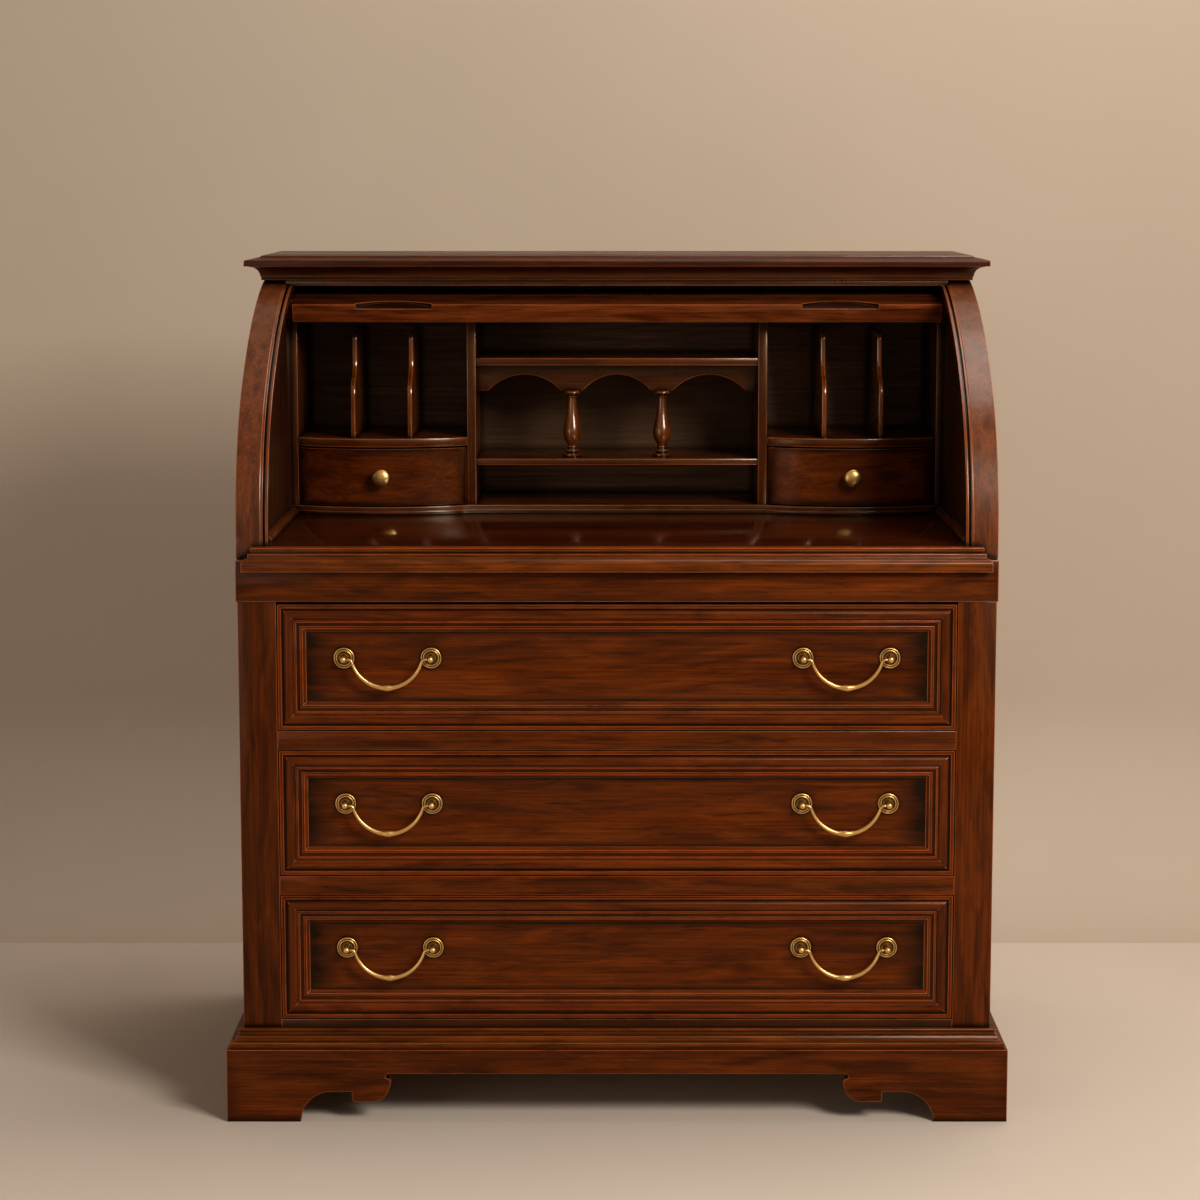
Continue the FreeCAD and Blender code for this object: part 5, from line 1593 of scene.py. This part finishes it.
@dataclass
class Studio:
    """Plain floor, pale background, soft lamps and the camera.

    Attributes:
        distance: From the desk's frieze to the camera, in metres.
        eye: Height of the camera.
        pitch: Degrees that the camera looks down.
        lens: Focal length in millimetres on a 36 mm sensor.
        shift: Sideways shift of the frame.
        floor_colour: Colour of the floor.
        wall_colour: Colour of the wall.
        wall_place: How far back the wall stands.
        wall_curve: Radius of the curve at its foot.
        wall_height: Height of the wall.
        wall_steps: Flats in the curve.
        mottle: Faint patches on the floor and the wall.
        key_colour: Colour of the key lamp's light.
        sky: Strength of the all-round light.
        sky_colour: Colour of the all-round light.
    """

    distance: float = 4.0508
    eye: float = 1.2484
    pitch: float = 7.75
    lens: float = 93.9
    shift: float = -17.0 / 1200.0
    floor_colour: Colour = (0.62, 0.50, 0.395)
    wall_colour: Colour = (0.52, 0.405, 0.30)
    wall_place: float = 1.0
    wall_curve: float = 0.35
    wall_height: float = 6.0
    wall_steps: int = 14
    mottle: Cloud = Cloud(detail=4.0, rough=0.6, scale=3.0)
    key_colour: Colour = (1.0, 0.975, 0.94)
    sky: float = 0.17
    sky_colour: Colour = (1.0, 0.97, 0.93)

    def build(self) -> None:
        """Set up the floor, the world, the lamps and the camera."""
        self._floor()
        self._wall()
        self._world()
        self._lamps()
        self._camera()

    def _paper(self, name: str, colour: Colour, one_sided: bool) -> bpy.types.Material:
        """Make the plain matt finish of the floor and the wall.

        Args:
            name: Material's name.
            colour: Its colour.
            one_sided: Whether it is clear when seen from behind.

        Returns:
            The material.
        """
        material = bpy.data.materials.new(name)
        material.use_nodes = True
        sheet = Sheet(material.node_tree)
        spot = sheet.add("ShaderNodeTexCoord").outputs["Object"]
        mottle = sheet.remap(sheet.noise(spot, self.mottle), 0.3, 0.7)
        tone = sheet.blend(mottle, (*[c * 0.97 for c in colour], 1.0), (*colour, 1.0))
        surface = sheet.surface({"Base Color": tone, "Roughness": 0.85, "Specular IOR Level": 0.2})
        if one_sided:
            behind = sheet.add("ShaderNodeNewGeometry").outputs["Backfacing"]
            surface = sheet.choice(behind, surface, sheet.add("ShaderNodeBsdfTransparent").outputs[0])
        sheet.close("ShaderNodeOutputMaterial", {"Surface": surface})
        return material

    @staticmethod
    def _plane(name: str, size: float, spot: Point) -> Piece:
        """Add a level square.

        Args:
            name: New piece's name.
            size: Length of its sides.
            spot: Its middle.

        Returns:
            The new piece.
        """
        Bench.clear()
        bpy.ops.mesh.primitive_plane_add(size=size, location=spot)
        bpy.context.object.name = name
        return bpy.context.object

    def _floor(self) -> None:
        """Lay a wide pale floor."""
        floor = self._plane("studio_floor", 60.0, (0.0, 0.0, 0.0))
        floor.data.materials.append(self._paper("studio floor", self.floor_colour, False))

    def _wall(self) -> None:
        """Raise a wall behind the desk that grows out of the floor in a curve."""
        start = self.wall_place - self.wall_curve
        wall = self._plane("studio_wall", 1.0, (0.0, start - 0.5, 0.0004))
        bpy.ops.object.mode_set(mode="EDIT")
        bpy.ops.mesh.select_mode(type="EDGE")
        bpy.ops.mesh.select_all(action="SELECT")
        bpy.ops.transform.resize(value=(40.0, 0.01, 1.0), center_override=(0.0, start, 0.0004))
        form = bmesh.from_edit_mesh(wall.data)
        for edge in form.edges:
            edge.select_set(all(vert.co.y + start - 0.5 > start - 0.001 for vert in edge.verts))
        for vert in form.verts:
            vert.select_set(vert.co.y + start - 0.5 > start - 0.001)
        form.select_flush_mode()
        bmesh.update_edit_mesh(wall.data)
        steps = self.wall_steps
        before = (0.0, 0.0)
        for step in range(1, steps + 2):
            angle = math.pi / 2.0 * min(step, steps) / steps
            after = (self.wall_curve * math.sin(angle), self.wall_curve * (1.0 - math.cos(angle)))
            if step > steps:
                after = (after[0], self.wall_height)
            bpy.ops.mesh.extrude_region_move(
                TRANSFORM_OT_translate={"value": (0.0, after[0] - before[0], after[1] - before[1])})
            before = after
        bpy.ops.mesh.select_mode(type="VERT")
        bpy.ops.mesh.select_all(action="SELECT")
        form = bmesh.from_edit_mesh(wall.data)
        turned = [face for face in form.faces if face.normal.dot(Vector((0.0, -1.0, 1.0))) < 0.0]
        bmesh.ops.reverse_faces(form, faces=turned)
        bmesh.update_edit_mesh(wall.data)
        bpy.ops.object.mode_set(mode="OBJECT")
        Bench.settle(wall)
        bpy.ops.object.shade_smooth()
        wall.data.materials.append(self._paper("studio wall", self.wall_colour, True))

    def _world(self) -> None:
        """Show a pale background and give a soft all-round light."""
        world = bpy.data.worlds.new("studio")
        bpy.context.scene.world = world
        world.use_nodes = True
        sheet = Sheet(world.node_tree)
        path = sheet.add("ShaderNodeLightPath")
        seen = sheet.calc("MAXIMUM", path.outputs["Is Camera Ray"], path.outputs["Is Transmission Ray"])
        seen = sheet.calc("MAXIMUM", seen, path.outputs["Is Glossy Ray"])
        skies = []
        for colour, strength in ((self.sky_colour, self.sky), (self.wall_colour, 1.0)):
            made = sheet.add("ShaderNodeBackground")
            sheet.put(made.inputs["Color"], (*colour, 1.0))
            sheet.put(made.inputs["Strength"], strength)
            skies.append(made.outputs[0])
        sheet.close("ShaderNodeOutputWorld", {"Surface": sheet.choice(seen, *skies)})

    @staticmethod
    def _lamp(name: str, spot: Point, aim: Point, size: float, power: float, colour: Colour) -> None:
        """Hang one soft lamp.

        Args:
            name: The lamp's name.
            spot: Where it hangs.
            aim: Where it points.
            size: Width of its panel, in metres.
            power: Its power, in watts.
            colour: The light's colour.
        """
        lamp = bpy.data.lights.new(name, "AREA")
        lamp.shape = "SQUARE"
        lamp.size = size
        lamp.energy = power
        lamp.color = colour
        holder = bpy.data.objects.new(name, lamp)
        holder.location = spot
        holder.rotation_euler = (Vector(aim) - Vector(spot)).to_track_quat("-Z", "Y").to_euler()
        bpy.context.scene.collection.objects.link(holder)

    def _lamps(self) -> None:
        """Light the desk from the upper right, with a weak fill from the left."""
        self._lamp("key lamp", (1.85, -2.75, 2.4), (0.0, -0.1, 0.55), 1.2, 112.0, self.key_colour)
        self._lamp("fill lamp", (-2.6, -3.3, 0.9), (0.0, 0.1, 0.95), 1.6, 14.0, (1.0, 0.975, 0.95))
        self._lamp("top lamp", (0.6, 0.3, 3.2), (0.0, 0.1, 0.9), 1.6, 42.0, (1.0, 0.98, 0.95))

    def _camera(self) -> None:
        """Stand the camera where the photograph was taken."""
        data = bpy.data.cameras.new("photo camera")
        data.lens = self.lens
        data.sensor_width = 36.0
        data.sensor_fit = "HORIZONTAL"
        data.shift_x = self.shift
        camera = bpy.data.objects.new("photo camera", data)
        camera.location = (0.0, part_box("frieze_front")[0][1] - self.distance, self.eye)
        camera.rotation_euler = (math.radians(90.0 - self.pitch), 0.0, 0.0)
        bpy.context.scene.collection.objects.link(camera)
        bpy.context.scene.camera = camera


SHADE = (0.017, 0.0030, 0.0004)
WOODS = {
    "case": WoodFinish("Case cherry", SHADE, (0.066, 0.0100, 0.0006), (0.138, 0.0235, 0.0013)),
    # Colours set lighter, so that the lowest length of each long drawer's moulding, left without painted shade, reads
    # as painted light.
    "drawer": WoodFinish(
        "Drawer cherry", SHADE, (0.092, 0.0134, 0.0007), (0.184, 0.0305, 0.0016), 50.0, 1.2, 0.5, rim=1.0, rub_and_highlight=0.7),
    "moulding": WoodFinish(
        "Moulding cherry", SHADE, (0.100, 0.0185, 0.0016), (0.190, 0.0390, 0.0036), 60.0, 0.8, 0.45, rub_and_highlight=0.8, rim=0.2),
    "sides": WoodFinish(
        "Upper side cherry", SHADE, (0.088, 0.0160, 0.0018), (0.165, 0.0360, 0.0048), 58.0, 1.1, 0.5, shine=0.3,
        lacquer=0.14, mirrored=(1.0, 0.84, 0.68)),
    "cornice": WoodFinish(
        "Cornice cherry", SHADE, (0.032, 0.0054, 0.0009), (0.074, 0.0120, 0.0015), gloss=0.34, shine=0.11,
        mirrored=(1.0, 0.80, 0.60)),
    # Shaded copy of the wood: painted shade for the cornice's cove.
    "cove": WoodFinish(
        "Cove cherry, painted shade", (0.010, 0.0020, 0.0003), (0.030, 0.0055, 0.0005), (0.060, 0.0110, 0.0010), shine=0.2, rub_and_highlight=0.8,
        rim=0.1),
    "surface": WoodFinish(
        "Writing surface cherry", SHADE, (0.026, 0.0032, 0.0002), (0.048, 0.0066, 0.0004), 45.0, 1.1, 0.5, gloss=0.13,
        shine=0.62, lacquer=0.10, rim=0.2),
    "rail": WoodFinish("Cover rail cherry", SHADE, (0.125, 0.0210, 0.0034), (0.215, 0.0460, 0.0090), rim=0.2),
    "gallery": WoodFinish(
        "Gallery cherry", (0.014, 0.0030, 0.0007), (0.047, 0.0092, 0.0014), (0.100, 0.0215, 0.0036), 52.0, 0.9, 0.5,
        gloss=0.26, shine=0.32, lacquer=0.12, rub_and_highlight=0.8, rim=0.2),
    # Lit copy of the gallery's wood: colours made lighter as painted light in the dim back; the field behind the
    # arches takes painted shade.
    "back": WoodFinish(
        "Gallery back cherry, painted light", (0.076, 0.0310, 0.0145), (0.180, 0.0880, 0.0500), (0.230, 0.1180, 0.0700), 52.0, 0.9,
        0.45, gloss=0.45, shine=0.2, lacquer=0.0, rim=0.3),
    "turned": WoodFinish(
        "Turned cherry", (0.026, 0.0046, 0.0007), (0.092, 0.0180, 0.0016), (0.165, 0.0370, 0.0034), 80.0, 0.8, 0.35,
        gloss=0.16, shine=0.4, lacquer=0.8, rub_and_highlight=0.3, rim=0.1),
    "inner": WoodFinish(
        "Unfinished poplar", (0.17, 0.095, 0.048), (0.30, 0.185, 0.100), (0.38, 0.25, 0.145), 70.0, 0.8, 0.5,
        gloss=0.62, shine=0.3, lacquer=0.0, painted_shade=0.45, rim=0.1, rub_and_highlight=0.1, relief=0.0001),
}
BRASS = BrassFinish("Aged brass", (0.74, 0.46, 0.16), (0.46, 0.26, 0.080), (0.050, 0.024, 0.007))


def main() -> None:
    """Build the desk's sub-assemblies in order, then the studio."""
    bpy.context.scene.view_settings.view_transform = "Standard"
    Studio().build()
    effects = SharedEffects()
    finishes = {key: finish.build(effects) for key, finish in {**WOODS, "brass": BRASS}.items()}
    bench = Bench()
    for work in (BracketBase, LowerCase, UpperCase, Gallery, CoverLead, CoverTail):
        work(bench, finishes).build()
        log.info("%s done", work.__name__)
    pulls = PullMaker(bench, PullSizes(), finishes["brass"])
    for name in ("top_drawer", "middle_drawer", "bottom_drawer"):
        LongDrawer(bench, finishes, name).build()
        pulls.fit(name)
        log.info("%s done", name)
    pulls.put_away()
    for side in ("left", "right"):
        SmallDrawer(bench, finishes, side).build()
    bench.clear()


if __name__ == "__main__":
    main()
